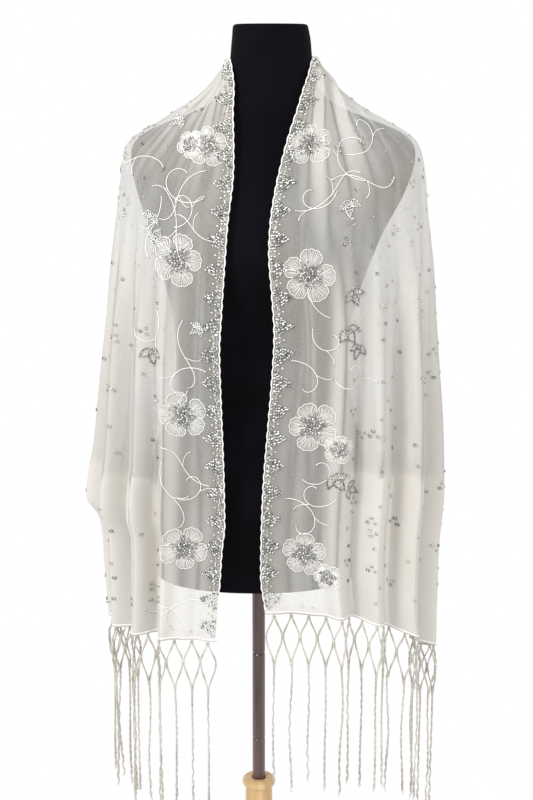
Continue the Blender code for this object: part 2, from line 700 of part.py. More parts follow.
for existing in list(bpy.data.objects):
    bpy.data.objects.remove(existing)
PARTS = collection("draped_shawl")
build_form()
build_stand()
front_walls, back_wall = build_shawl()
build_fringe(-1, "fringe_right")
build_fringe(1, "fringe_left")
bpy.context.view_layer.update()
all_cloth = outer_faces([*front_walls.values(), back_wall])
for number, row in enumerate(FLOWERS, start=1):
    build_flower(number, row, all_cloth)
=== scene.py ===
import math

import bpy
import numpy as np
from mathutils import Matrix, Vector


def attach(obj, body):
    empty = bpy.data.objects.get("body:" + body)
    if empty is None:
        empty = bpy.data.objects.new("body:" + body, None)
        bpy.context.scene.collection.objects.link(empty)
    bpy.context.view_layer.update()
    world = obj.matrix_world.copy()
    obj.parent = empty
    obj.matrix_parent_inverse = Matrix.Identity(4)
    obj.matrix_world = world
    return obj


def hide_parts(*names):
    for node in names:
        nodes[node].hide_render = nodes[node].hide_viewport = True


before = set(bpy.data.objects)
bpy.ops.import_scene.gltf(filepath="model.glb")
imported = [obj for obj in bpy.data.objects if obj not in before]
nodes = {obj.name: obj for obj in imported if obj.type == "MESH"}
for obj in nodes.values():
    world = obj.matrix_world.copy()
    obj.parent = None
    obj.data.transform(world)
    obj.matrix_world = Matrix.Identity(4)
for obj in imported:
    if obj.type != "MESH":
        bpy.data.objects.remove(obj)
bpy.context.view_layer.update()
print("frame loaded")

# The drape. These tables are the CAD cloth's own, so the fine cloth lies on the solids' form.
drape = {
    "formBottom": 0.780,
    "formTop": 0.7816,
    "clearance": 0.0010,
    "wall": 0.0012,
    "squareness": 2.5,
    "backCentre": 0.012,
    "formSquareness": 2.15,
    "columns": 300,
    "rows": 320,
    # height, half width, depth in front, depth behind, middle
    "form": (
        (0.0000, 0.1480, 0.102, 0.112, -0.003),
        (0.0600, 0.1523, 0.107, 0.120, -0.004),
        (0.1350, 0.1535, 0.106, 0.122, -0.004),
        (0.1840, 0.1490, 0.100, 0.116, -0.001),
        (0.2417, 0.1340, 0.090, 0.100, 0.003),
        (0.3164, 0.1222, 0.080, 0.088, 0.005),
        (0.3671, 0.1250, 0.087, 0.088, 0.006),
        (0.4058, 0.1325, 0.101, 0.092, 0.007),
        (0.4385, 0.1420, 0.112, 0.096, 0.008),
        (0.4710, 0.1525, 0.116, 0.099, 0.010),
        (0.5033, 0.1640, 0.110, 0.101, 0.012),
        (0.5450, 0.1820, 0.093, 0.101, 0.017),
        (0.5850, 0.1945, 0.078, 0.096, 0.020),
        (0.6090, 0.1965, 0.068, 0.088, 0.021),
        (0.6255, 0.1900, 0.061, 0.081, 0.021),
        (0.6380, 0.1740, 0.056, 0.075, 0.021),
        (0.6492, 0.1490, 0.053, 0.069, 0.020),
        (0.6595, 0.1210, 0.052, 0.063, 0.020),
        (0.6715, 0.0930, 0.052, 0.058, 0.019),
        (0.6870, 0.0710, 0.051, 0.055, 0.019),
        (0.7050, 0.0605, 0.050, 0.053, 0.019),
        (0.7366, 0.0560, 0.049, 0.051, 0.018),
        (0.7605, 0.0538, 0.048, 0.049, 0.018),
        (0.7770, 0.0515, 0.046, 0.047, 0.017),
    ),
    # share of the drop, front edge, widest place, depth in front and behind,
    # heights in front, at the side and behind
    "rings": {
        -1: (
            (0.000, -0.0362, -0.0412, 0.030, 0.062, 0.7350, 0.7350, 0.738),
            (0.050, -0.0315, -0.0600, 0.050, 0.068, 0.6954, 0.7030, 0.699),
            (0.090, -0.0328, -0.0856, 0.062, 0.078, 0.6638, 0.6820, 0.668),
            (0.120, -0.0322, -0.1077, 0.070, 0.088, 0.6400, 0.6700, 0.644),
            (0.150, -0.0318, -0.1298, 0.077, 0.097, 0.6163, 0.6560, 0.620),
            (0.180, -0.0320, -0.1521, 0.084, 0.104, 0.5925, 0.6430, 0.597),
            (0.210, -0.0335, -0.1743, 0.093, 0.110, 0.5688, 0.6290, 0.573),
            (0.235, -0.0360, -0.1850, 0.100, 0.113, 0.5490, 0.6120, 0.553),
            (0.270, -0.0395, -0.1890, 0.112, 0.115, 0.5213, 0.5810, 0.526),
            (0.330, -0.0430, -0.1945, 0.124, 0.116, 0.4738, 0.5290, 0.478),
            (0.410, -0.0475, -0.2014, 0.128, 0.116, 0.4105, 0.4580, 0.415),
            (0.490, -0.0510, -0.2045, 0.128, 0.118, 0.3471, 0.3880, 0.352),
            (0.590, -0.0490, -0.2120, 0.128, 0.124, 0.2680, 0.3000, 0.273),
            (0.690, -0.0465, -0.2215, 0.129, 0.131, 0.1888, 0.2120, 0.194),
            (0.790, -0.0455, -0.2350, 0.130, 0.137, 0.1097, 0.1240, 0.115),
            (0.830, -0.0490, -0.2170, 0.131, 0.140, 0.0780, 0.0900, 0.083),
            (0.920, -0.0540, -0.2110, 0.131, 0.142, 0.0068, 0.0100, 0.012),
            (1.000, -0.0585, -0.2080, 0.132, 0.144, -0.0565, -0.0600, -0.050),
        ),
        1: (
            (0.000, 0.0730, 0.0785, 0.030, 0.062, 0.7350, 0.7380, 0.738),
            (0.030, 0.0670, 0.0903, 0.044, 0.066, 0.7125, 0.7180, 0.715),
            (0.060, 0.0590, 0.1045, 0.056, 0.071, 0.6900, 0.7020, 0.691),
            (0.090, 0.0520, 0.1230, 0.064, 0.079, 0.6675, 0.6860, 0.668),
            (0.120, 0.0440, 0.1430, 0.071, 0.088, 0.6450, 0.6710, 0.644),
            (0.150, 0.0370, 0.1640, 0.078, 0.097, 0.6225, 0.6600, 0.620),
            (0.180, 0.0310, 0.1840, 0.085, 0.104, 0.6000, 0.6490, 0.597),
            (0.210, 0.0255, 0.2040, 0.094, 0.110, 0.5775, 0.6370, 0.573),
            (0.240, 0.0210, 0.2210, 0.102, 0.113, 0.5550, 0.6210, 0.549),
            (0.280, 0.0165, 0.2300, 0.114, 0.115, 0.5250, 0.5850, 0.518),
            (0.335, 0.0145, 0.2356, 0.124, 0.116, 0.4838, 0.5300, 0.474),
            (0.410, 0.0185, 0.2415, 0.128, 0.116, 0.4275, 0.4600, 0.415),
            (0.480, 0.0215, 0.2430, 0.128, 0.118, 0.3750, 0.3900, 0.360),
            (0.570, 0.0180, 0.2480, 0.128, 0.123, 0.3075, 0.3020, 0.289),
            (0.660, 0.0125, 0.2540, 0.129, 0.129, 0.2400, 0.2150, 0.217),
            (0.755, 0.0070, 0.2575, 0.130, 0.135, 0.1688, 0.1240, 0.142),
            (0.835, 0.0045, 0.2520, 0.131, 0.140, 0.1088, 0.0470, 0.079),
            (0.930, 0.0035, 0.2510, 0.131, 0.142, 0.0375, -0.0450, 0.004),
            (1.000, 0.0100, 0.2500, 0.131, 0.144, -0.0150, -0.1100, -0.050),
        ),
    },
    # place round the body, share of the drop where the cloth ends
    "edge": {
        -1: ((0.0, 1.0), (0.435, 1.0), (0.465, 0.80), (0.55, 0.79), (0.72, 0.80), (1.0, 0.855)),
        1: ((0.0, 1.0), (0.485, 1.0), (0.515, 0.77), (0.60, 0.76), (0.75, 0.79), (1.0, 0.855)),
    },
    "corner": {-1: 0.435, 1: 0.485},
    "split": {-1: 0.495, 1: 0.545},
    # place, crest, half width, begins, full, drift
    "folds": {
        -1: (
            (0.060, -0.0050, 0.022, 0.50, 0.90, 0.00),
            (0.148, 0.0120, 0.022, 0.28, 0.60, 0.00),
            (0.186, -0.0190, 0.021, 0.42, 0.75, 0.00),
            (0.225, 0.0150, 0.022, 0.25, 0.62, 0.01),
            (0.268, -0.0190, 0.022, 0.22, 0.70, 0.01),
            (0.312, 0.0150, 0.022, 0.24, 0.60, 0.01),
            (0.355, -0.0180, 0.021, 0.25, 0.70, 0.01),
            (0.398, 0.0130, 0.022, 0.22, 0.66, 0.00),
            (0.452, -0.0100, 0.024, 0.26, 0.80, 0.00),
            (0.560, -0.0120, 0.030, 0.28, 0.75, 0.00),
            (0.620, 0.0110, 0.028, 0.24, 0.70, 0.00),
            (0.680, -0.0120, 0.028, 0.22, 0.70, 0.01),
            (0.742, 0.0110, 0.028, 0.20, 0.70, 0.00),
            (0.805, -0.0100, 0.028, 0.24, 0.75, -0.01),
            (0.868, 0.0110, 0.030, 0.15, 0.70, 0.00),
            (0.935, -0.0080, 0.028, 0.12, 0.65, 0.00),
        ),
        1: (
            (0.060, -0.0040, 0.025, 0.40, 0.90, 0.00),
            (0.165, 0.0120, 0.020, 0.26, 0.55, 0.00),
            (0.205, -0.0150, 0.022, 0.34, 0.70, 0.00),
            (0.250, 0.0120, 0.024, 0.24, 0.60, 0.01),
            (0.298, -0.0170, 0.024, 0.24, 0.66, 0.01),
            (0.345, 0.0150, 0.022, 0.22, 0.60, 0.01),
            (0.388, -0.0180, 0.022, 0.25, 0.70, 0.01),
            (0.432, 0.0140, 0.022, 0.22, 0.66, 0.00),
            (0.476, -0.0120, 0.020, 0.26, 0.75, 0.00),
            (0.590, -0.0120, 0.030, 0.28, 0.75, 0.00),
            (0.650, 0.0110, 0.028, 0.24, 0.70, 0.00),
            (0.710, -0.0120, 0.028, 0.22, 0.70, 0.01),
            (0.768, 0.0110, 0.028, 0.20, 0.70, 0.00),
            (0.826, -0.0100, 0.028, 0.24, 0.75, -0.01),
            (0.882, 0.0110, 0.028, 0.15, 0.70, 0.00),
            (0.940, -0.0080, 0.026, 0.12, 0.65, 0.00),
        ),
    },
    # place, crest, half width, share where it has died out
    "gathers": {
        -1: (
            (0.10, 0.006, 0.028, 0.30),
            (0.20, -0.004, 0.025, 0.26),
            (0.30, 0.004, 0.030, 0.24),
            (0.72, 0.004, 0.030, 0.40),
        ),
        1: (
            (0.09, -0.004, 0.020, 0.36),
            (0.14, 0.008, 0.022, 0.42),
            (0.20, -0.005, 0.022, 0.36),
            (0.26, 0.006, 0.024, 0.34),
            (0.34, -0.003, 0.025, 0.28),
            (0.74, 0.004, 0.030, 0.40),
        ),
    },
}


def easeStep(value):
    t = np.clip(value, 0.0, 1.0)
    return t * t * (3.0 - 2.0 * t)


def unit(vectors):
    return vectors / np.maximum(np.linalg.norm(vectors, axis=-1), 1e-9)[..., None]


def runLength(line):
    return np.concatenate([[0.0], np.cumsum(np.linalg.norm(np.diff(line, axis=0), axis=1))])


def gridFaces(rows, columns):
    number = np.arange(rows * columns).reshape(rows, columns)
    corners = (number[:-1, :-1], number[:-1, 1:], number[1:, 1:], number[1:, :-1])
    return np.stack(corners, axis=2).reshape(-1, 4)


def addObject(name, data):
    made = bpy.data.objects.new(name, data)
    bpy.context.scene.collection.objects.link(made)
    return made


def readTable(rows, at):
    # Reads a table's columns along a smooth curve that never overshoots its rows.
    table = np.array(rows, float)
    x, y = table[:, 0], table[:, 1:]
    slope = np.diff(y, axis=0) / np.diff(x)[:, None]
    tangent = np.vstack([slope[:1], 0.5 * (slope[:-1] + slope[1:]), slope[-1:]])
    tangent[1:-1][slope[:-1] * slope[1:] <= 0.0] = 0.0
    limit = 3.0 * np.minimum(np.abs(np.vstack([slope[:1], slope])), np.abs(np.vstack([slope, slope[-1:]])))
    tangent = np.clip(tangent, -limit, limit)
    at = np.clip(np.asarray(at, float), x[0], x[-1])
    i = np.clip(np.searchsorted(x, at, side="right") - 1, 0, len(x) - 2)
    step = (x[i + 1] - x[i])[..., None]
    t = (at - x[i])[..., None] / step
    return (
        (2 * t**3 - 3 * t**2 + 1) * y[i]
        + (t**3 - 2 * t**2 + t) * step * tangent[i]
        + (3 * t**2 - 2 * t**3) * y[i + 1]
        + (t**3 - t**2) * step * tangent[i + 1]
    )


def formReach(points):
    halfWidth, front, back, centre = readTable(drape["form"], points[:, 2] - drape["formBottom"]).T
    depth = np.where(points[:, 1] < 0.0, front, back)
    power = drape["formSquareness"]
    across = np.abs(points[:, 0] - centre) / halfWidth
    along = np.abs(points[:, 1]) / depth
    return (across**power + along**power) ** (1.0 / power)


def clearOfForm(points, clearance):
    points = points.copy()
    probe = 0.0005
    for turn in range(5):
        reach = formReach(points)
        slope = np.stack([(formReach(points + probe * axis) - reach) / probe for axis in np.eye(3)], axis=1)
        steepness = np.maximum(np.linalg.norm(slope, axis=1), 1e-6)
        short = clearance - (reach - 1.0) / steepness
        move = np.where((short > 0.0) & (points[:, 2] < drape["formBottom"] + drape["formTop"]), short, 0.0)
        points += (move / steepness)[:, None] * slope
    return points


def ringLine(side, row, places):
    inner, wide, front, back, frontHeight, sideHeight, backHeight = row
    middle = drape["backCentre"]
    half = abs(wide - middle)
    reach = min(0.995, max(0.0, side * (inner - middle) / half))
    start = math.asin(reach ** (drape["squareness"] / 2.0))
    angle = np.linspace(start, math.pi, 400)
    power = 2.0 / drape["squareness"]
    x = middle + side * half * np.abs(np.sin(angle)) ** power
    y = np.where(angle < math.pi / 2, -front, back) * np.abs(np.cos(angle)) ** power
    if side * (inner - middle) < 0.0:
        x = x + (inner - middle) * (1.0 - easeStep((angle - start) / 0.5))
    towardFront = np.maximum(np.cos(angle), 0.0) ** 1.3
    towardBack = np.maximum(-np.cos(angle), 0.0) ** 1.3
    z = sideHeight + (frontHeight - sideHeight) * towardFront + (backHeight - sideHeight) * towardBack
    line = np.stack([x, y, z + drape["formBottom"]], axis=1)
    length = runLength(line[:, :2])
    length /= length[-1]

    def read(at):
        return np.stack([np.interp(at, length, line[:, k]) for k in range(3)], axis=1)

    run = read(np.minimum(places + 0.01, 1.0)) - read(np.maximum(places - 0.01, 0.0))
    outward = np.stack([run[:, 1] * side, -run[:, 0] * side, np.zeros(len(places))], axis=1)
    return read(places), unit(outward)


def foldHeight(side, place, share):
    out = np.zeros(np.broadcast(place, share).shape)
    for at, crest, halfWidth, begins, full, drift in drape["folds"][side]:
        near = np.exp(-(((place - at - drift * (1.0 - share)) / halfWidth) ** 2))
        out += crest * near * easeStep((share - begins) / (full - begins))
    for at, crest, halfWidth, diesOut in drape["gathers"][side]:
        near = np.exp(-(((place - at) / halfWidth) ** 2))
        fade = 1.0 - easeStep((share - 0.4 * diesOut) / (0.6 * diesOut))
        out += crest * near * easeStep(share / 0.05) * fade
    return out


# Small soft creases between the main folds, and the pull of the gathers at the neck
creases = {
    "count": 34,
    "depth": 0.0016,
    "halfWidth": (0.006, 0.013),
    "neckCount": 22,
    "neckDepth": 0.0014,
    "pucker": 0.00012,
    "seed": 11,
}


def creaseHeight(side, place, share):
    chance = np.random.default_rng(creases["seed"] + side)
    out = np.zeros(np.broadcast(place, share).shape)
    for turn in range(creases["count"]):
        at, lean = chance.uniform(0.01, 0.99), chance.uniform(-0.05, 0.05)
        width = chance.uniform(*creases["halfWidth"])
        low = chance.uniform(0.15, 0.75)
        high = low + chance.uniform(0.2, 0.6)
        wave = 0.006 * np.sin(share * chance.uniform(5.0, 14.0) + chance.uniform(0.0, 6.0))
        crest = creases["depth"] * chance.uniform(0.3, 1.0) * chance.choice((-1.0, 1.0))
        near = np.exp(-(((place - at - lean * (share - low) - wave) / width) ** 2))
        out += crest * near * easeStep((share - low) / 0.15) * (1.0 - easeStep((share - high) / 0.2))
    for turn in range(creases["neckCount"]):
        at, lean = chance.uniform(0.02, 0.75), chance.uniform(-0.25, 0.35)
        width = chance.uniform(0.006, 0.016)
        length = chance.uniform(0.12, 0.34)
        crest = creases["neckDepth"] * chance.uniform(0.4, 1.0) * chance.choice((-1.0, 1.0))
        near = np.exp(-(((place - at - lean * share) / (width * (1.0 + 3.0 * share))) ** 2))
        out += crest * near * easeStep(share / 0.04) * (1.0 - easeStep((share - 0.4 * length) / length))
    across = np.sin(place * 90.0 + 3.0 * np.sin(share * 11.0))
    down = np.sin(share * 60.0 + 2.0 * np.sin(place * 17.0))
    return out + creases["pucker"] * (across * down)


class ClothMap:
    # A fine grid over one half of the cloth, read at any place round the body and share of the drop.
    def __init__(self, side):
        self.side = side
        self.places = np.linspace(0.0, 1.0, drape["columns"])
        self.shares = np.linspace(0.0, 1.0, drape["rows"])
        rows = readTable(drape["rings"][side], self.shares)
        lines = [ringLine(side, row, self.places) for row in rows]
        base = np.array([line[0] for line in lines])
        outward = np.array([line[1] for line in lines])
        place, share = np.meshgrid(self.places, self.shares)
        centreFade = 1.0 - easeStep((place - 0.96) / 0.04)
        small = creaseHeight(side, place, share) * centreFade
        folds = foldHeight(side, place, share)
        solid = base + outward * folds[..., None]
        shape = solid.shape
        solid = clearOfForm(solid.reshape(-1, 3), drape["clearance"]).reshape(shape)
        grid = solid + outward * (small + 0.5 * drape["wall"])[..., None]
        grid = clearOfForm(grid.reshape(-1, 3), 0.5 * drape["clearance"]).reshape(shape)
        alongPlace = np.gradient(grid, self.places, axis=1)
        alongShare = np.gradient(grid, self.shares, axis=0)
        normal = unit(np.cross(alongShare, alongPlace) * side)
        facing = np.sum(normal * outward, axis=2)
        normal *= np.sign(np.median(facing))
        steep = np.abs(np.gradient(folds + small, self.places, axis=1)) / np.linalg.norm(alongPlace, axis=2)
        smoothPlace = np.linalg.norm(np.gradient(base, self.places, axis=1), axis=2)
        smoothShare = np.linalg.norm(np.gradient(base, self.shares, axis=0), axis=2)
        self.fields = np.dstack([grid, normal, steep, smoothPlace, smoothShare])

    def read(self, place, share):
        place, share = np.broadcast_arrays(np.asarray(place, float), np.asarray(share, float))
        i = np.clip(place, 0.0, 1.0) * (len(self.places) - 1)
        j = np.clip(share, 0.0, 1.0) * (len(self.shares) - 1)
        i0 = np.minimum(i.astype(int), len(self.places) - 2)
        j0 = np.minimum(j.astype(int), len(self.shares) - 2)
        u, v = (i - i0)[..., None], (j - j0)[..., None]
        f = self.fields
        top = f[j0, i0] * (1 - u) + f[j0, i0 + 1] * u
        low = f[j0 + 1, i0] * (1 - u) + f[j0 + 1, i0 + 1] * u
        return top * (1 - v) + low * v

    def points(self, place, share, lift=0.0):
        found = self.read(place, share)
        return found[..., :3] + found[..., 3:6] * np.asarray(lift)[..., None]

    def around(self, place, share, across, down):
        # The place and share that lie the given metres across (away from the front edge) and down.
        found = self.read(place, share)
        return place + across / np.maximum(found[..., 7], 0.08), share + down / found[..., 8]

    def near(self, place, share, across, down, lift):
        # Points that lie the given metres across and down from one spot.
        place, share = np.full(np.shape(across), place), np.full(np.shape(across), share)
        return self.points(*self.around(place, share, across, down), lift)

    def endShare(self, place):
        table = np.array(drape["edge"][self.side])
        return np.interp(place, table[:, 0], table[:, 1])


halves = {side: ClothMap(side) for side in (-1, 1)}
meeting = 0.5 * (halves[-1].fields[:, -1, :3] + halves[1].fields[:, -1, :3])
for half in halves.values():
    pull = easeStep((half.places - 0.94) / 0.06)[None, :, None]
    half.fields[..., :3] += (meeting - half.fields[:, -1, :3])[:, None, :] * pull
print("cloth mapped")


class Heap:
    # Collects points and faces of many small things, then makes one mesh of them.
    def __init__(self):
        self.points = []
        self.faces = []
        self.count = 0

    def add(self, points, faces):
        points = np.asarray(points, float).reshape(-1, 3)
        self.points.append(points)
        self.faces += (np.asarray(faces) + self.count).tolist()
        self.count += len(points)

    def tube(self, path, radius, sides=5, closed=False):
        path = np.asarray(path, float)
        count = len(path)
        radius = np.broadcast_to(radius, (count,))
        if closed:
            tangent = np.roll(path, -1, axis=0) - np.roll(path, 1, axis=0)
        else:
            tangent = np.gradient(path, axis=0)
        tangent = unit(tangent)
        guide = np.array([0.37, -0.61, 0.29])
        if abs(tangent[0] @ np.array([0.49, -0.8, 0.38])) >= 0.9:  # the tube starts along the guide
            guide = np.array([0.8, 0.5, 0.1])
        first = unit(np.cross(tangent, guide))
        second = np.cross(tangent, first)
        angle = 2.0 * math.pi * np.arange(sides) / sides
        turn = np.stack([np.cos(angle), np.sin(angle)])[:, None, :, None]
        ring = first[:, None] * turn[0] + second[:, None] * turn[1]
        points = path[:, None] + ring * radius[:, None, None]
        k = np.arange(sides)
        after = (k + 1) % sides
        rows = np.arange(count if closed else count - 1)
        low, high = rows[:, None] * sides, ((rows + 1) % count)[:, None] * sides
        faces = np.stack([low + k, low + after, high + after, high + k], axis=2).reshape(-1, 4)
        self.add(points, faces)
        if not closed:
            ends = [list(range(sides)), [(count - 1) * sides + m for m in reversed(range(sides))]]
            self.faces += [[self.count - count * sides + m for m in end] for end in ends]

    def beads(self, centres, radius, axes=None, stretch=1.0):
        centres = np.asarray(centres, float).reshape(-1, 3)
        radius = np.broadcast_to(radius, (len(centres),))
        axes = np.array([0.0, 0.0, 1.0]) if axes is None else np.asarray(axes, float).reshape(-1, 3)
        axes = unit(np.broadcast_to(axes, centres.shape))
        side = unit(np.cross(axes, np.array([0.31, 0.87, 0.23])))
        other = np.cross(axes, side)
        belts, spokes = 3, 6
        local = [(0.0, 0.0, 1.0)]
        for belt in range(1, belts + 1):
            tilt = math.pi * belt / (belts + 1)
            wide, high = math.sin(tilt), math.cos(tilt)
            for spoke in range(spokes):
                turn = 2.0 * math.pi * spoke / spokes
                local.append((wide * math.cos(turn), wide * math.sin(turn), high))
        local.append((0.0, 0.0, -1.0))
        local = np.array(local)
        faces = []
        last = len(local) - 1
        for k in range(spokes):
            after = (k + 1) % spokes
            faces.append((0, 1 + k, 1 + after))
            faces.append((last, last - spokes + after, last - spokes + k))
            for belt in range(belts - 1):
                a, b = 1 + belt * spokes, 1 + (belt + 1) * spokes
                faces.append((a + k, b + k, b + after))
                faces.append((a + k, b + after, a + after))
        faces = np.array(faces)
        points = (
            centres[:, None]
            + side[:, None] * (local[None, :, 0:1] * radius[:, None, None])
            + other[:, None] * (local[None, :, 1:2] * radius[:, None, None])
            + axes[:, None] * (local[None, :, 2:3] * radius[:, None, None] * stretch)
        )
        offsets = np.arange(len(centres))[:, None, None] * len(local)
        self.add(points, (faces[None] + offsets).reshape(-1, 3))

    def build(self, name, finish):
        mesh = bpy.data.meshes.new(name)
        mesh.from_pydata(np.concatenate(self.points), [], self.faces)
        mesh.update()
        mesh.materials.append(finish)
        mesh.shade_smooth()
        return addObject(name, mesh)


class Wire:
    # A shader socket that takes part in sums.
    def __init__(self, finish, socket):
        self.finish = finish
        self.socket = socket

    def combine(self, operation, first, second):
        return self.finish.node("ShaderNodeMath", {"operation": operation}, {0: first, 1: second})[0]

    def __add__(self, other):
        return self.combine("ADD", self, other)

    __radd__ = __add__

    def __mul__(self, other):
        return self.combine("MULTIPLY", self, other)

    __rmul__ = __mul__

    def __sub__(self, other):
        return self.combine("SUBTRACT", self, other)

    def __rsub__(self, other):
        return self.combine("SUBTRACT", other, self)


class Finish:
    # One procedural material, built node by node.
    def __init__(self, name):
        self.material = bpy.data.materials.new(name)
        self.material.use_nodes = True
        self.tree = self.material.node_tree
        self.tree.nodes.clear()

    def node(self, kind, settings=None, values=None):
        made = self.tree.nodes.new(kind)
        for name, value in (settings or {}).items():
            setattr(made, name, value)
        for name, value in (values or {}).items():
            if isinstance(value, Wire):
                self.tree.links.new(value.socket, made.inputs[name])
            else:
                made.inputs[name].default_value = value
        return [Wire(self, socket) for socket in made.outputs]

    def noise(self, scale, detail=2.0, stretch=(1.0, 1.0, 1.0)):
        place = self.node("ShaderNodeTexCoord")[3]
        sized = self.node("ShaderNodeMapping", {}, {"Vector": place, "Scale": stretch})[0]
        return self.node("ShaderNodeTexNoise", {}, {"Vector": sized, "Scale": scale, "Detail": detail})[0]

    def mixColour(self, factor, first, second):
        # Inputs 0, 6 and 7 are the factor and the two colours, output 2 the colour.
        return self.node("ShaderNodeMix", {"data_type": "RGBA"}, {0: factor, 6: first, 7: second})[2]

    def drift(self, noise, low, high, first, second):
        # One colour where the noise is low, the other where it is high.
        return self.mixColour(self.range(noise, low, high, 0.0, 1.0), first, second)

    def attribute(self, name):
        return self.node("ShaderNodeAttribute", {"attribute_name": name})[2]

    def range(self, value, low, high, newLow, newHigh):
        inputs = {"Value": value, "From Min": low, "From Max": high, "To Min": newLow, "To Max": newHigh}
        return self.node("ShaderNodeMapRange", {"clamp": True}, inputs)[0]

    def bump(self, height, distance, strength):
        inputs = {"Height": height, "Distance": distance, "Strength": strength}
        return self.node("ShaderNodeBump", {}, inputs)[0]

    def end(self, values):
        shader = self.node("ShaderNodeBsdfPrincipled", {}, values)[0]
        self.node("ShaderNodeOutputMaterial", {}, {"Surface": shader})
        return self.material


netLook = {
    "warm": (0.575, 0.545, 0.495, 1.0),
    "cool": (0.585, 0.573, 0.543, 1.0),
    "cover": 0.415,
    "gatheredCover": 0.42,
    "edgingCover": 0.12,
    "layeredCover": 0.30,
    "weave": 0.26,
    "streak": 0.16,
    "roughness": 0.8,
    "sheen": 0.25,
}


def netFinish():
    f = Finish("ivory_net")
    weave = f.noise(900.0, 1.0)
    streak = f.noise(60.0, 3.0, (1.0, 1.0, 0.06))
    cover = netLook["cover"] + f.attribute("gathered") * netLook["gatheredCover"]
    cover = cover + f.attribute("edging") * netLook["edgingCover"]
    cover = cover + f.attribute("layered") * netLook["layeredCover"]
    cover = cover + (weave - 0.5) * netLook["weave"] + (streak - 0.5) * netLook["streak"]
    return f.end(
        {
            "Base Color": f.drift(f.noise(9.0, 3.0), 0.35, 0.65, netLook["warm"], netLook["cool"]),
            "Roughness": netLook["roughness"],
            "Alpha": cover,
            "Sheen Weight": netLook["sheen"],
            "Normal": f.bump(weave + streak * 0.6, 0.0006, 0.5),
        }
    )


# Stitching: the satin threads, and the thin ground under each petal
silkLook = {"low": (0.86, 0.845, 0.80, 1.0), "high": (0.93, 0.92, 0.89, 1.0), "roughness": (0.32, 0.55)}
groundLook = {"colour": (0.84, 0.82, 0.77, 1.0), "roughness": 0.6, "cover": (0.12, 0.34)}


def silkFinish():
    f = Finish("ivory_silk")
    fibre = f.noise(700.0, 2.0)
    return f.end(
        {
            "Base Color": f.drift(f.noise(35.0, 2.0), 0.35, 0.7, silkLook["low"], silkLook["high"]),
            "Roughness": f.range(fibre, 0.3, 0.7, *silkLook["roughness"]),
            "Normal": f.bump(fibre, 0.0003, 0.6),
        }
    )


def groundFinish():
    f = Finish("ivory_silk_ground")
    cover = f.range(f.noise(500.0, 2.0), 0.3, 0.7, *groundLook["cover"])
    return f.end({"Base Color": groundLook["colour"], "Roughness": groundLook["roughness"], "Alpha": cover})


# Beads and sequins: light colour, dark colour (partly the beads' own tone, partly mixed in small spots as
# painted glints and painted shade), how metallic
beadLooks = {
    "silver_bead": ((0.93, 0.92, 0.90, 1.0), (0.46, 0.45, 0.43, 1.0), 0.75),
    "smoke_bead": ((0.52, 0.51, 0.48, 1.0), (0.13, 0.13, 0.12, 1.0), 0.85),
    "champagne_sequin": ((0.80, 0.77, 0.70, 1.0), (0.42, 0.39, 0.33, 1.0), 0.7),
}


def beadFinish(name):
    light, dark, metallic = beadLooks[name]
    f = Finish(name)
    paintedGlintSpots = f.noise(420.0, 1.0)
    return f.end(
        {
            # The base colour drifts between light and dark in small spots: painted glints and painted shade
            # on the beads and sequins.
            "Base Color": f.drift(paintedGlintSpots, 0.4, 0.6, dark, light),
            "Roughness": f.range(paintedGlintSpots, 0.3, 0.7, 0.16, 0.34),
            "Metallic": metallic,
            "Coat Weight": 0.4,
        }
    )


yarnLook = {
    "low": (0.47, 0.44, 0.38, 1.0),
    "high": (0.66, 0.635, 0.58, 1.0),
    # painted shade colour for the hollows between the fibres
    "paintedHollowShade": (0.30, 0.275, 0.23, 1.0),
    "roughness": 0.7,
}


def yarnFinish():
    f = Finish("fringe_yarn")
    fibre = f.noise(600.0, 3.0)
    colour = f.drift(f.noise(22.0, 2.0), 0.35, 0.65, yarnLook["low"], yarnLook["high"])
    # Darker where the fibre noise is low, in the hollows of the bump: painted shade.
    colour = f.mixColour(f.range(fibre, 0.25, 0.75, 0.35, 0.0), colour, yarnLook["paintedHollowShade"])
    normal = f.bump(fibre, 0.0005, 0.7)
    return f.end({"Base Color": colour, "Roughness": yarnLook["roughness"], "Normal": normal})


jerseyLook = {
    "low": (0.0010, 0.0010, 0.0022, 1.0),
    "high": (0.0022, 0.0022, 0.0040, 1.0),
    "roughness": 0.9,
    "shine": 0.10,
}


def jerseyFinish():
    f = Finish("black_jersey")
    return f.end(
        {
            "Base Color": f.drift(f.noise(14.0, 2.0), 0.35, 0.65, jerseyLook["low"], jerseyLook["high"]),
            "Roughness": jerseyLook["roughness"],
            "Specular IOR Level": jerseyLook["shine"],
            "Normal": f.bump(f.noise(1100.0, 1.0), 0.0003, 0.5),
        }
    )


# Turned wood: light grain, dark grain, coat, grain scale, how the grain is stretched
woodLooks = {
    "dark_wood": ((0.14, 0.075, 0.055, 1.0), (0.035, 0.020, 0.018, 1.0), 0.5, 90.0, (1.0, 1.0, 0.05)),
    "light_wood": ((0.66, 0.45, 0.22, 1.0), (0.46, 0.28, 0.11, 1.0), 0.35, 70.0, (1.0, 1.0, 0.05)),
    "foot_wood": ((0.66, 0.45, 0.22, 1.0), (0.50, 0.31, 0.13, 1.0), 0.35, 60.0, (0.05, 1.0, 1.0)),
}


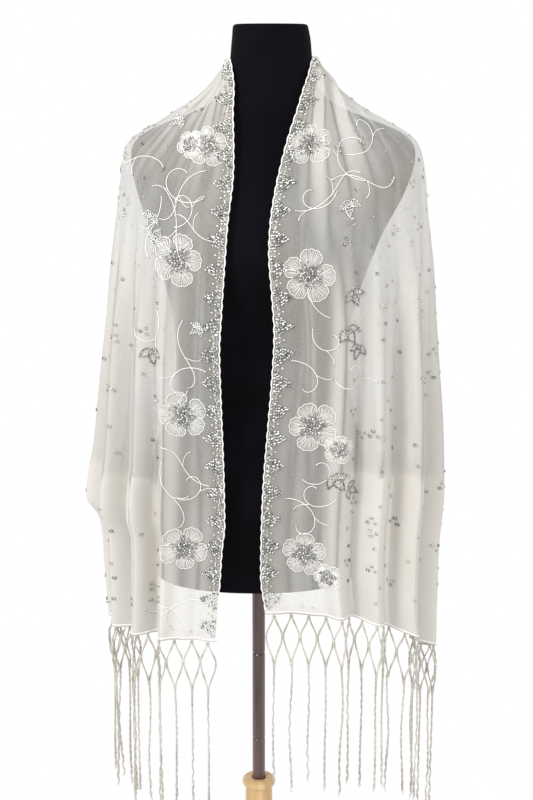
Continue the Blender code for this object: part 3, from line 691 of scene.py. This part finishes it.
def woodFinish(name):
    light, dark, coat, grainScale, along = woodLooks[name]
    f = Finish(name)
    grain = f.noise(grainScale, 5.0, along)
    bands = f.noise(0.3 * grainScale, 2.0, tuple(0.5 * (part + part**0.5) for part in along))
    colour = f.drift(grain, 0.35, 0.65, dark, light)
    return f.end(
        {
            "Base Color": f.mixColour(f.range(bands, 0.4, 0.7, 0.0, 0.35), colour, dark),
            "Roughness": f.range(grain, 0.3, 0.7, 0.30, 0.45),
            "Coat Weight": coat,
            "Normal": f.bump(grain, 0.0004, 0.35),
        }
    )


floorLook = {"colour": (0.86, 0.86, 0.85, 1.0), "roughness": 0.9}


def floorFinish():
    f = Finish("pale_floor")
    return f.end({"Base Color": floorLook["colour"], "Roughness": floorLook["roughness"]})


finishes = {
    "net": netFinish(),
    "silk": silkFinish(),
    "ground": groundFinish(),
    "silver": beadFinish("silver_bead"),
    "smoke": beadFinish("smoke_bead"),
    "sequin": beadFinish("champagne_sequin"),
    "yarn": yarnFinish(),
    "jersey": jerseyFinish(),
    "darkWood": woodFinish("dark_wood"),
    "lightWood": woodFinish("light_wood"),
    "footWood": woodFinish("foot_wood"),
    "floor": floorFinish(),
}
print("finishes made")


def shellGrid(name, points, gathered, edging, layered):
    mesh = bpy.data.meshes.new(name)
    mesh.from_pydata(points.reshape(-1, 3), [], gridFaces(*points.shape[:2]).tolist())
    mesh.update()
    for label, values in (("gathered", gathered), ("edging", edging), ("layered", layered)):
        layer = mesh.attributes.new(label, "FLOAT", "POINT")
        layer.data.foreach_set("value", np.asarray(values, np.float32).ravel())
    mesh.materials.append(finishes["net"])
    mesh.shade_smooth()
    return addObject(name, mesh)


# The sheer stretches, a single layer each
panels = {"frontColumns": 200, "backColumns": 130, "rows": 250, "seam": 0.0004, "edgeBand": 0.010}


def panelFields(side, places, half):
    down = np.linspace(0.0, 1.0, panels["rows"])[:, None]
    shares = down * half.endShare(places)[None, :]
    found = half.read(places[None, :], shares)
    gathered = np.clip(found[..., 6] * 1.6, 0.0, 1.0)
    lengths = found[..., 8]
    toEnd = np.minimum(shares * lengths, (half.endShare(places)[None, :] - shares) * lengths)
    toFront = places[None, :] * found[..., 7]
    edging = (np.minimum(toEnd, toFront) < panels["edgeBand"]).astype(float)
    layered = easeStep((shares - 0.715) / 0.035) * easeStep((places[None, :] - 0.14) / 0.07)
    return found[..., :3], gathered, edging, layered


shawl = {}
for side, name in ((-1, "right_front"), (1, "left_front")):
    corner, split = drape["corner"][side], drape["split"][side]
    even = np.linspace(0.0, corner, panels["frontColumns"])
    places = np.concatenate([even, np.linspace(corner, split - panels["seam"], 26)[1:]])
    shawl[name] = shellGrid("sheer_" + name, *panelFields(side, places, halves[side]))
parts = []
for side in (-1, 1):
    places = np.linspace(drape["split"][side] + panels["seam"], 1.0, panels["backColumns"])
    parts.append(panelFields(side, places, halves[side]))
joined = [np.concatenate([parts[0][k], parts[1][k][:, -2::-1]], axis=1) for k in range(4)]
shawl["back"] = shellGrid("sheer_back", *joined)
print("sheer panels built")


# Corded, scalloped edges with bead clusters that point inwards
border = {
    "scallop": 0.0145,
    "wave": 0.0011,
    "cord": 0.00095,
    "repeat": 0.0385,
    # depth from the edge, beads
    "rows": (
        (0.0035, 8),
        (0.0065, 7),
        (0.0098, 6),
        (0.0130, 5),
        (0.0162, 4),
        (0.0192, 3),
        (0.0222, 2),
        (0.0248, 1),
    ),
    # along the edge from midway between clusters, depth from the edge
    "sequins": ((-0.0035, 0.008), (0.0035, 0.008), (0.0, 0.0135)),
    "sequinRadius": 0.0019,
    "beadStep": 0.0042,
    "beadRadius": 0.00145,
    "smokeShare": 0.30,
    "seed": 3,
}


def edgePath(side, kind):
    half = halves[side]
    if kind == "inner":
        places = np.concatenate([np.zeros(600), np.linspace(0.0, 1.0, 300)[1:]])
        shares = np.concatenate([np.linspace(1.0, 0.0, 600), np.zeros(299)])
    elif kind == "outer":
        places = np.linspace(drape["corner"][side], 1.0, 800)
        shares = half.endShare(places)
    else:
        places = np.linspace(0.0, drape["corner"][side], 400)
        shares = np.ones(400)
    return places, shares


class EdgeLine:
    def __init__(self, side, kind):
        self.half = halves[side]
        self.kind = kind
        self.places, self.shares = edgePath(side, kind)
        line = self.half.points(self.places, self.shares)
        self.length = runLength(line)

    def at(self, distance):
        return np.interp(distance, self.length, self.places), np.interp(distance, self.length, self.shares)

    def inside(self, distance, depth):
        # A spot the given metres inwards from the edge, square to it on the cloth.
        place, share = self.at(distance)
        ahead, behind = self.at(distance + 0.002), self.at(distance - 0.002)
        found = self.half.read(place, share)
        perPlace, perShare = np.maximum(found[..., 7], 0.08), found[..., 8]
        across = (ahead[0] - behind[0]) * perPlace
        down = (ahead[1] - behind[1]) * perShare
        size = np.maximum(np.hypot(across, down), 1e-9)
        turn = 1.0 if self.kind == "inner" else -1.0
        across, down = -down / size * turn, across / size * turn
        if self.kind == "outer":
            down = -np.abs(down)
        return place + across * depth / perPlace, share + down * depth / perShare


cordHeap, beadHeap, smokeHeap, sequinHeap = Heap(), Heap(), Heap(), Heap()
chance = np.random.default_rng(border["seed"])
edgeLines = {}
for side in (-1, 1):
    for kind in ("inner", "outer", "hem"):
        line = EdgeLine(side, kind)
        edgeLines[side, kind] = line
        steps = np.arange(0.0, line.length[-1], 0.0016)
        phase = np.abs(np.sin(math.pi * steps / border["scallop"]))
        depth = border["wave"] * (1.0 - phase) if kind != "hem" else 0.0 * phase
        spots = line.half.points(*line.inside(steps, depth), 0.0004)
        cordHeap.tube(spots, border["cord"] * (0.85 + 0.25 * phase), 6)
        if kind == "hem":
            continue
        for centre in np.arange(0.5 * border["repeat"], line.length[-1], border["repeat"]):
            for depth, count in border["rows"]:
                spread = (np.arange(count) - 0.5 * (count - 1)) * border["beadStep"]
                spread = spread + chance.normal(0.0, 0.0006, count) + chance.normal(0.0, 0.0008)
                depths = depth + chance.normal(0.0, 0.0006, count)
                place, share = line.inside(centre + spread, depths)
                spots = line.half.points(place, share, border["beadRadius"] * 0.8)
                leaning = line.inside(centre + spread + 0.001, depths + 0.0012)
                tilt = line.half.points(*leaning) - line.half.points(place, share)
                sizes = border["beadRadius"] * chance.uniform(0.75, 1.1, count)
                smoke = chance.uniform(size=count) < border["smokeShare"]
                for heap, chosen in ((beadHeap, ~smoke), (smokeHeap, smoke)):
                    if chosen.any():
                        heap.beads(spots[chosen], sizes[chosen], tilt[chosen], 1.5)
        for centre in np.arange(border["repeat"], line.length[-1] - 0.01, border["repeat"]):
            offset, depth = np.array(border["sequins"]).T
            place, share = line.inside(centre + offset, depth)
            normal = line.half.read(place, share)[..., 3:6]
            sequinHeap.beads(line.half.points(place, share, 0.0008), border["sequinRadius"], normal, 0.45)
print("borders set")


# Embroidered flowers: side, place, share, radius, turn. The rows under pads are the CAD flowers' own.
flowers = {
    "pads": (
        (-1, 0.106, 0.150, 0.0250, 10),
        (-1, 0.130, 0.340, 0.0300, 30),
        (-1, 0.103, 0.600, 0.0290, 0),
        (-1, 0.098, 0.835, 0.0280, 50),
        (1, 0.088, 0.150, 0.0250, 20),
        (1, 0.090, 0.375, 0.0300, 5),
        (1, 0.098, 0.645, 0.0290, 40),
        (1, 0.095, 0.885, 0.0270, 15),
        (-1, 0.640, 0.690, 0.0260, 25),
        (-1, 0.840, 0.730, 0.0280, 60),
        (1, 0.980, 0.760, 0.0280, 10),
        (1, 0.800, 0.720, 0.0270, 35),
    ),
    "small": (
        (-1, 0.176, 0.156, 0.0175, 30),
        (1, 0.158, 0.685, 0.0180, 10),
        (1, 0.145, 0.925, 0.0170, 40),
        (1, 0.640, 0.690, 0.0190, 0),
        (-1, 0.745, 0.690, 0.0180, 30),
        (1, 0.885, 0.690, 0.0180, 15),
        (-1, 0.940, 0.770, 0.0180, 50),
    ),
    "lift": 0.0009,
    "spread": 1.13,
    "petals": 5,
    "petalHalfAngle": 0.60,
    "petalBase": 0.62,
    "threads": 15,
    "thread": (0.00018, 0.00030, 0.00038, 0.00042, 0.00026),
    "rim": 0.00055,
    "bead": 0.00135,
    "seed": 5,
}
silkHeap, groundHeap = Heap(), Heap()
chance = np.random.default_rng(flowers["seed"])


def petalReach(across):
    # How far a petal reaches, from -1 at one flank over 0 at its middle to 1 at the other.
    base = flowers["petalBase"]
    return base + (1.0 - base) * np.sqrt(np.clip(1.0 - np.abs(across) ** 2.6, 0.0, 1.0))


def stitchFlower(side, place, share, radius, turn):
    def spot(angle, out, lift):
        across, down = np.cos(angle) * out * radius, -np.sin(angle) * out * radius
        return halves[side].near(place, share, across, down, lift)

    halfAngle, lift = flowers["petalHalfAngle"], flowers["lift"]
    for petal in range(flowers["petals"]):
        middle = math.radians(turn) + 2.0 * math.pi * petal / flowers["petals"] + chance.normal(0.0, 0.04)
        reach = chance.uniform(0.92, 1.06)
        t = np.linspace(-1.0, 1.0, 21)
        rim = reach * petalReach(t) * (1.0 + 0.02 * np.sin(t * 14.0 + petal))
        angles = middle + t * halfAngle
        rings = [spot(angles, rim * k, lift * 0.4) for k in (0.22, 0.6, 0.97)]
        groundHeap.add(np.concatenate(rings), gridFaces(len(rings), len(t)))
        silkHeap.tube(spot(angles, rim, lift * 0.7), flowers["rim"], 5)
        for thread in np.linspace(-0.92, 0.92, flowers["threads"]):
            wobble = chance.normal(0.0, 0.015)
            end = reach * petalReach(thread) * chance.uniform(0.93, 1.0)
            out = np.linspace(chance.uniform(0.30, 0.52), end, 5)
            angle = middle + (thread + wobble) * halfAngle * np.linspace(0.55, 1.0, 5)
            bulge = lift + 0.0005 * np.sin(np.linspace(0.3, 2.9, 5))
            silkHeap.tube(spot(angle, out, bulge), flowers["thread"], 4)
    # The beaded heart, silver and smoke in turn on a spiral, with a smoke ring round it
    count = int(34 * (radius / 0.030) ** 2) + 5
    angle = np.arange(count) * 2.39996 + turn
    centres = spot(angle, 0.44 * np.sqrt((np.arange(count) + 0.5) / count), lift + 0.0008)
    along = np.roll(centres, 1, axis=0) - centres
    sizes = flowers["bead"] * chance.uniform(0.8, 1.1, count)
    beadHeap.beads(centres[::2], sizes[::2], along[::2], 1.4)
    smokeHeap.beads(centres[1::2], sizes[1::2] * 0.9, along[1::2], 1.4)
    angle = np.arange(16) * 2.0 * math.pi / 16
    centres = spot(angle, 0.50 + 0.05 * np.sin(angle * 5.0), lift + 0.0006)
    smokeHeap.beads(centres, 0.0010, np.roll(centres, 1, axis=0) - centres, 1.5)


for side, place, share, radius, turn in flowers["pads"] + flowers["small"]:
    stitchFlower(side, place, share, radius * flowers["spread"], turn)
print("flowers stitched")


# Curling stems: side, place, share, heading in degrees (0 away from the front edge, 90 down), length,
# turn at the start and at the end in degrees for each 10 mm
vines = {
    "rows": (
        (-1, 0.226, 0.205, -30, 0.070, 20, -42),
        (-1, 0.200, 0.235, 150, 0.085, -12, 30),
        (-1, 0.090, 0.190, 20, 0.075, 16, -35),
        (-1, 0.080, 0.235, 40, 0.080, -14, -34),
        (-1, 0.148, 0.290, 200, 0.060, 18, 50),
        (-1, 0.200, 0.250, 100, 0.065, -10, 30),
        (-1, 0.030, 0.300, 10, 0.050, -20, 45),
        (-1, 0.105, 0.440, 60, 0.075, 16, -40),
        (-1, 0.040, 0.520, -20, 0.070, 14, 45),
        (-1, 0.180, 0.430, 120, 0.060, -14, -44),
        (-1, 0.150, 0.680, 70, 0.080, 14, -36),
        (-1, 0.035, 0.720, 0, 0.070, -16, 40),
        (-1, 0.120, 0.745, 160, 0.055, 20, 50),
        (-1, 0.050, 0.930, -10, 0.070, 14, -40),
        (-1, 0.160, 0.940, 180, 0.060, -18, 42),
        (1, 0.150, 0.215, -20, 0.075, 16, -40),
        (1, 0.060, 0.262, 10, 0.080, -14, 36),
        (1, 0.160, 0.235, 110, 0.060, 18, 46),
        (1, 0.210, 0.180, 20, 0.075, -12, -38),
        (1, 0.240, 0.230, 200, 0.080, 12, 34),
        (1, 0.043, 0.525, 5, 0.060, 12, 48),
        (1, 0.131, 0.450, 200, 0.070, 16, -44),
        (1, 0.090, 0.470, 100, 0.055, -22, -50),
        (1, 0.143, 0.560, 60, 0.060, -26, -42),
        (1, 0.050, 0.781, 0, 0.075, 12, 44),
        (1, 0.158, 0.775, 120, 0.060, 20, 46),
        (1, 0.085, 0.745, 40, 0.055, -24, -44),
        (1, 0.040, 0.965, -10, 0.060, 16, -40),
        (-1, 0.650, 0.760, 190, 0.070, 18, -40),
        (-1, 0.760, 0.780, 10, 0.080, -14, 38),
        (-1, 0.930, 0.720, 100, 0.080, 16, -40),
        (1, 0.900, 0.790, 20, 0.080, 16, -38),
        (1, 0.720, 0.770, 170, 0.080, -14, 38),
        (1, 0.650, 0.640, 60, 0.070, 18, -42),
    ),
    "radius": 0.00056,
    "bud": 0.024,
    "grow": 1.35,
    "curl": 1.75,
}


def walkCloth(half, place, share, heading, length, turnStart, turnEnd, count=44):
    step = length / (count - 1)
    way = math.radians(heading)
    places, shares = [place], [share]
    for k in range(count - 1):
        found = half.read(places[-1], shares[-1])
        places.append(places[-1] + math.cos(way) * step / max(found[7], 0.08))
        shares.append(shares[-1] + math.sin(way) * step / found[8])
        turn = turnStart + (turnEnd - turnStart) * (k / count) ** 2.6
        way += math.radians(turn) * step / 0.01
    places, shares = np.array(places), np.array(shares)
    inside = (shares < half.endShare(places) - 0.012) & (places > 0.012) & (shares > 0.01)
    kept = len(places) if inside.all() else max(4, int(np.argmin(inside)))
    return places[:kept], shares[:kept]


for side, place, share, heading, length, turnStart, turnEnd in vines["rows"]:
    half = halves[side]
    length, turnEnd = length * vines["grow"], turnEnd * vines["curl"]
    places, shares = walkCloth(half, place, share, heading, length, turnStart, turnEnd)
    silkHeap.tube(half.points(places, shares, 0.0008), vines["radius"], 5)
    beadHeap.beads(half.points(places[[0, -1]], shares[[0, -1]], 0.0012), 0.0015)
    # A short bud that curls the other way from the stem's middle
    middle = min(len(places) // 2, len(places) - 2)
    here = half.read(places[middle], shares[middle])
    rise = (shares[middle + 1] - shares[middle]) * here[8]
    run = (places[middle + 1] - places[middle]) * here[7]
    branch = math.degrees(math.atan2(rise, run))
    reverse = -1.0 if turnEnd > 0 else 1.0
    bend = (branch + 35 * reverse, vines["bud"], 10 * reverse, 110 * reverse, 22)
    bud = walkCloth(half, places[middle], shares[middle], *bend)
    silkHeap.tube(half.points(*bud, 0.0008), vines["radius"] * 0.9, 4)
    beadHeap.beads([half.points(bud[0][-1], bud[1][-1], 0.0012)], 0.0013)
print("stems laid")


# Leaves outlined in beads: side, place, share, heading, length, dark beads
leaves = {
    "rows": (
        (-1, 0.219, 0.281, 80, 0.020, 0),
        (-1, 0.205, 0.325, 250, 0.022, 0),
        (-1, 0.194, 0.500, 100, 0.022, 1),
        (-1, 0.265, 0.125, 60, 0.018, 0),
        (-1, 0.055, 0.445, 40, 0.016, 0),
        (1, 0.193, 0.256, 90, 0.022, 0),
        (1, 0.186, 0.406, 70, 0.022, 1),
        (1, 0.166, 0.470, 60, 0.024, 1),
        (1, 0.201, 0.503, 110, 0.020, 1),
        (1, 0.148, 0.735, 50, 0.024, 1),
        (1, 0.182, 0.760, 20, 0.020, 1),
        (-1, 0.700, 0.720, 60, 0.022, 1),
        (-1, 0.900, 0.690, 110, 0.022, 0),
        (1, 0.850, 0.760, 70, 0.022, 1),
        (1, 0.700, 0.700, 120, 0.022, 0),
    ),
    "leaflets": (-55, 0, 55),
    "bow": 0.26,
    "fills": (0.25, 0.45, 0.65, 0.82),
    "bead": 0.00115,
    "beadStep": 0.0024,
}


def leafSpots(side, place, share, way, along, off, lift):
    across = math.cos(way) * along - math.sin(way) * off
    down = math.sin(way) * along + math.cos(way) * off
    return halves[side].near(place, share, across, down, lift)


for side, place, share, heading, length, dark in leaves["rows"]:
    heap = smokeHeap if dark else beadHeap
    for lean in leaves["leaflets"]:
        size = length * (1.0 if lean == 0 else 0.8)
        way = math.radians(heading + lean)
        t = np.linspace(0.0, 1.0, int(size / leaves["beadStep"]) + 1)
        for bow in (-1, 1):
            off = bow * leaves["bow"] * size * np.sin(math.pi * t**0.8)
            spots = leafSpots(side, place, share, way, t * size, off, 0.0009)
            heap.beads(spots, leaves["bead"], np.gradient(spots, axis=0), 1.35)
        for fill in leaves["fills"]:
            reach = 0.2 * size * math.sin(math.pi * fill**0.8)
            across = np.linspace(-1.0, 1.0, 4)
            along = fill * size - np.abs(across) * 0.002
            silkHeap.tube(leafSpots(side, place, share, way, along, across * reach, 0.0008), 0.0005, 4)
print("leaves set")


# Ring sequins over the sides and back, one by one and in threes
scatter = {
    "spacing": 0.030,
    "jitter": 0.35,
    "threes": 0.20,
    "ring": 0.00185,
    "wire": 0.00055,
    "threeRadius": 0.0046,
    "start": 0.20,
    "smokeShare": 0.3,
    "seed": 23,
}
chance = np.random.default_rng(scatter["seed"])
circle = 2.0 * math.pi * np.arange(9) / 9
ringAcross, ringDown = scatter["ring"] * np.cos(circle), scatter["ring"] * np.sin(circle)


def isFree(half, side, place, share):
    found = half.read(place, share)
    for other, otherPlace, otherShare, radius, turn in flowers["pads"] + flowers["small"]:
        if other == side:
            gap = math.hypot((place - otherPlace) * found[7], (share - otherShare) * found[8])
            if gap < radius + 0.006:
                return False
    return True


for side in (-1, 1):
    half = halves[side]
    share = 0.10
    while share < 0.97:
        perPlace, perShare = half.read(0.5, share)[[7, 8]]
        stepPlace = scatter["spacing"] / max(perPlace, 0.1)
        for place in np.arange(scatter["start"], 0.99, stepPlace):
            a = place + chance.uniform(-1.0, 1.0) * scatter["jitter"] * stepPlace
            b = share + chance.uniform(-1.0, 1.0) * scatter["jitter"] * scatter["spacing"] / perShare
            if b > half.endShare(a) - 0.035 or a > 0.995 or not isFree(half, side, a, b):
                continue
            offsets = [(0.0, 0.0)]
            if chance.uniform() < scatter["threes"]:
                turn = chance.uniform(0.0, 2.0)
                turns = [turn + k * 2.1 for k in range(3)]
                out = scatter["threeRadius"]
                offsets = [(out * math.cos(t), out * math.sin(t)) for t in turns]
            elif chance.uniform() < 0.35:
                continue
            for dx, dy in offsets:
                x, y = half.around(a, b, dx, dy)
                ring = half.near(x, y, ringAcross, ringDown, 0.0009)
                target = smokeHeap if chance.uniform() < scatter["smokeShare"] else sequinHeap
                target.tube(ring, scatter["wire"], 4, closed=True)
                if len(offsets) == 3:
                    beadHeap.beads([half.points(x, y, 0.0012)], 0.0010)
        share += scatter["spacing"] / perShare
print("sequins scattered")

trim = {
    "edging_cord": cordHeap.build("edging_cord", finishes["silk"]),
    "silver_beads": beadHeap.build("silver_beads", finishes["silver"]),
    "smoke_beads": smokeHeap.build("smoke_beads", finishes["smoke"]),
    "sequins": sequinHeap.build("sequins", finishes["sequin"]),
    "stitched_threads": silkHeap.build("stitched_threads", finishes["silk"]),
    "stitched_ground": groundHeap.build("stitched_ground", finishes["ground"]),
}


# Knotted fringe: two yarns leave each root, meet their neighbours in a first row of knots, come back
# together in a second row, and hang in a loosely twisted tail
fringe = {
    "pitch": 0.024,
    "length": 0.262,
    "rowOne": 0.036,
    "rowTwo": 0.078,
    "strip": 0.0046,
    "yarn": 0.00085,
    "knot": 0.0023,
    "tailYarns": 3,
    "seeds": {-1: 6, 1: 8},
    "swaySeed": 40,
}


def hemSpot(line, distance, drop, out=0.0):
    distance = np.clip(distance, 0.0, line.length[-1])
    place, share = line.at(distance)
    found = line.half.read(place, share)
    outward = unit(found[..., 3:6] * np.array([1.0, 1.0, 0.0]))
    spot = found[..., :3] + outward * np.asarray(out)[..., None]
    spot[..., 2] -= drop
    return spot


def buildFringe(side):
    heap = Heap()
    line = edgeLines[side, "hem"]
    total = line.length[-1]
    tassels = int(total // fringe["pitch"])
    pitch = total / tassels
    cutting = np.random.default_rng(fringe["seeds"][side])
    lengths = fringe["length"] + cutting.uniform(-0.016, 0.010, tassels)
    chance = np.random.default_rng(fringe["swaySeed"] + side)
    steps = np.arange(0.0, total, 0.002)
    heap.tube(hemSpot(line, steps, 0.0018), 0.0013, 6)
    near = fringe["yarn"] * 1.05
    for tassel in range(tassels):
        middle = (tassel + 0.5) * pitch
        for half in (-1, 1):
            edge = half * (0.5 * pitch - near)
            runs = (
                (half * near, edge, fringe["strip"], fringe["rowOne"], 0.0),
                (edge, half * near, fringe["rowOne"], fringe["rowTwo"], 2.0),
            )
            for twin in (-1, 1):
                for begin, end, top, low, phase in runs:
                    t = np.linspace(0.0, 1.0, 12)
                    across = middle + begin + (end - begin) * easeStep(t) + twin * fringe["yarn"] * 0.5
                    twist = twin * fringe["yarn"] * np.cos(t * 9.0 + phase)
                    spots = hemSpot(line, across, top + (low - top) * t, twist)
                    heap.tube(spots, fringe["yarn"], 5)
        knots = [(middle, fringe["rowTwo"])]
        if tassel < tassels - 1:
            knots.append((middle + 0.5 * pitch, fringe["rowOne"]))
        for at, drop in knots:
            spots = hemSpot(line, np.full(3, at), drop + np.array([-0.0016, 0.0, 0.0018]))
            heap.beads(spots, np.array([0.8, 1.0, 0.75]) * fringe["knot"], (0.4, 0.0, 1.0))
        heap.beads(hemSpot(line, np.array([middle]), fringe["strip"]), fringe["knot"] * 0.8)
        sway = chance.normal(0.0, 0.0011, 4)
        for yarn in range(fringe["tailYarns"]):
            t = np.linspace(0.0, 1.0, 40)
            phase = 2.0 * math.pi * yarn / fringe["tailYarns"]
            turns = chance.uniform(7.0, 10.0)
            loose = fringe["yarn"] * (0.95 + 0.9 * t**3)
            wander = sway[0] * np.sin(t * 3.1) + sway[1] * np.sin(t * 7.0 + sway[2] * 900)
            angle = 2.0 * math.pi * turns * t + phase
            across = middle + wander + loose * np.cos(angle)
            out = loose * np.sin(angle) + sway[3] * np.sin(t * 5.0)
            end = lengths[tassel] + chance.uniform(-0.006, 0.003)
            drop = fringe["rowTwo"] + (end - fringe["rowTwo"]) * t
            heap.tube(hemSpot(line, across, drop, out), fringe["yarn"] * np.where(t > 0.97, 0.75, 1.0), 5)
    return heap.build("knotted_fringe_right" if side < 0 else "knotted_fringe_left", finishes["yarn"])


yarns = {side: buildFringe(side) for side in (-1, 1)}
print("fringe knotted")


# The dress form, as the CAD loft with finer sections
formLook = {"segments": 128, "levels": 150, "roll": 0.005, "rollLevels": (0.0, 0.0008, 0.0022)}


def buildForm():
    even = np.linspace(0.0, drape["formTop"], formLook["levels"])[1:-1]
    ends = np.array(formLook["rollLevels"])
    heights = np.sort(np.concatenate([ends, even, drape["formTop"] - ends]))
    angle = 2.0 * math.pi * np.arange(formLook["segments"]) / formLook["segments"]
    halfWidth, front, back, centre = readTable(drape["form"], heights).T
    fromEnd = np.minimum(heights, drape["formTop"] - heights)
    roll = formLook["roll"]
    inset = roll - np.sqrt(np.clip(roll**2 - np.clip(roll - fromEnd, 0.0, roll) ** 2, 0.0, None))
    power = 2.0 / drape["formSquareness"]
    across, along = np.sin(angle), -np.cos(angle)
    x = centre[:, None] + np.sign(across) * np.abs(across) ** power * (halfWidth - inset)[:, None]
    depth = np.where(along[None, :] < 0.0, front[:, None], back[:, None]) - inset[:, None]
    y = np.sign(along) * np.abs(along) ** power * depth
    z = np.broadcast_to(heights[:, None] + drape["formBottom"], x.shape)
    points = np.stack([x, y, z], axis=2)
    rows, columns = x.shape
    number = np.arange(rows * columns).reshape(rows, columns)
    low, high = number[:-1], number[1:]
    corners = (low, np.roll(low, -1, axis=1), np.roll(high, -1, axis=1), high)
    heap = Heap()
    heap.add(points, np.stack(corners, axis=2).reshape(-1, 4))
    heap.faces.append(list(range(columns - 1, -1, -1)))
    heap.faces.append([(rows - 1) * columns + k for k in range(columns)])
    return heap.build("smooth_dress_form", finishes["jersey"])


form = buildForm()
print("form built")

for name, look in (("stand_pole", "darkWood"), ("stand_socket", "lightWood"), ("stand_base", "footWood")):
    mesh = nodes[name].data
    mesh.materials.clear()
    mesh.materials.append(finishes[look])
    mesh.shade_smooth()
    mesh.set_sharp_from_angle(angle=math.radians(40.0))

for piece in (form, *shawl.values(), *trim.values(), *yarns.values()):
    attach(piece, "root")
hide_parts("dress_form")
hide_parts("shawl_right_front")
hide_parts("shawl_left_front")
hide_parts("shawl_back")
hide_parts("fringe_right")
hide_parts("fringe_left")
padNodes = [f"flower_{number:02d}" for number in range(1, len(flowers["pads"]) + 1)]
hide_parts(*padNodes)

# A pale round floor just under the foot, and soft light
stageLook = {
    "floorRadius": 0.62,
    "floorPlace": (0.0, 0.0, -0.0022),
    "key": 42.0,
    "fill": 10.0,
    "world": 1.0,
}
bpy.ops.mesh.primitive_cylinder_add(
    vertices=96, radius=stageLook["floorRadius"], depth=0.004, location=stageLook["floorPlace"]
)
floor = bpy.context.object
floor.name = "floor"
floor.data.materials.append(finishes["floor"])

world = bpy.data.worlds.new("studio")
world.use_nodes = True
background = world.node_tree.nodes["Background"]
background.inputs["Color"].default_value = (1.0, 1.0, 1.0, 1.0)
background.inputs["Strength"].default_value = stageLook["world"]
bpy.context.scene.world = world


def softLight(name, power, size, place, target):
    light = bpy.data.lights.new(name, "AREA")
    light.energy = power
    light.shape = "DISK"
    light.size = size
    made = addObject(name, light)
    made.location = place
    made.rotation_euler = (Vector(target) - Vector(place)).to_track_quat("-Z", "Y").to_euler()


softLight("key", stageLook["key"], 0.8, (-1.5, -1.7, 2.5), (0.0, 0.0, 1.1))
softLight("fill", stageLook["fill"], 1.4, (1.9, -1.4, 1.4), (0.0, 0.0, 1.0))

# The photo's view: where the camera stands, how far it looks down in degrees, its lens in millimetres
view = {"place": (0.0116, -2.1, 1.515), "down": 12.8, "lens": 67.5}
camera = addObject("camera", bpy.data.cameras.new("camera"))
camera.data.sensor_fit = "VERTICAL"
camera.data.sensor_height = 36.0
camera.data.sensor_width = 36.0
camera.data.lens = view["lens"]
camera.location = view["place"]
camera.rotation_euler = (math.radians(90.0 - view["down"]), 0.0, 0.0)
bpy.context.scene.camera = camera
bpy.context.scene.view_settings.view_transform = "Standard"
bpy.context.scene.cycles.transparent_max_bounces = 32

print("scene ready")
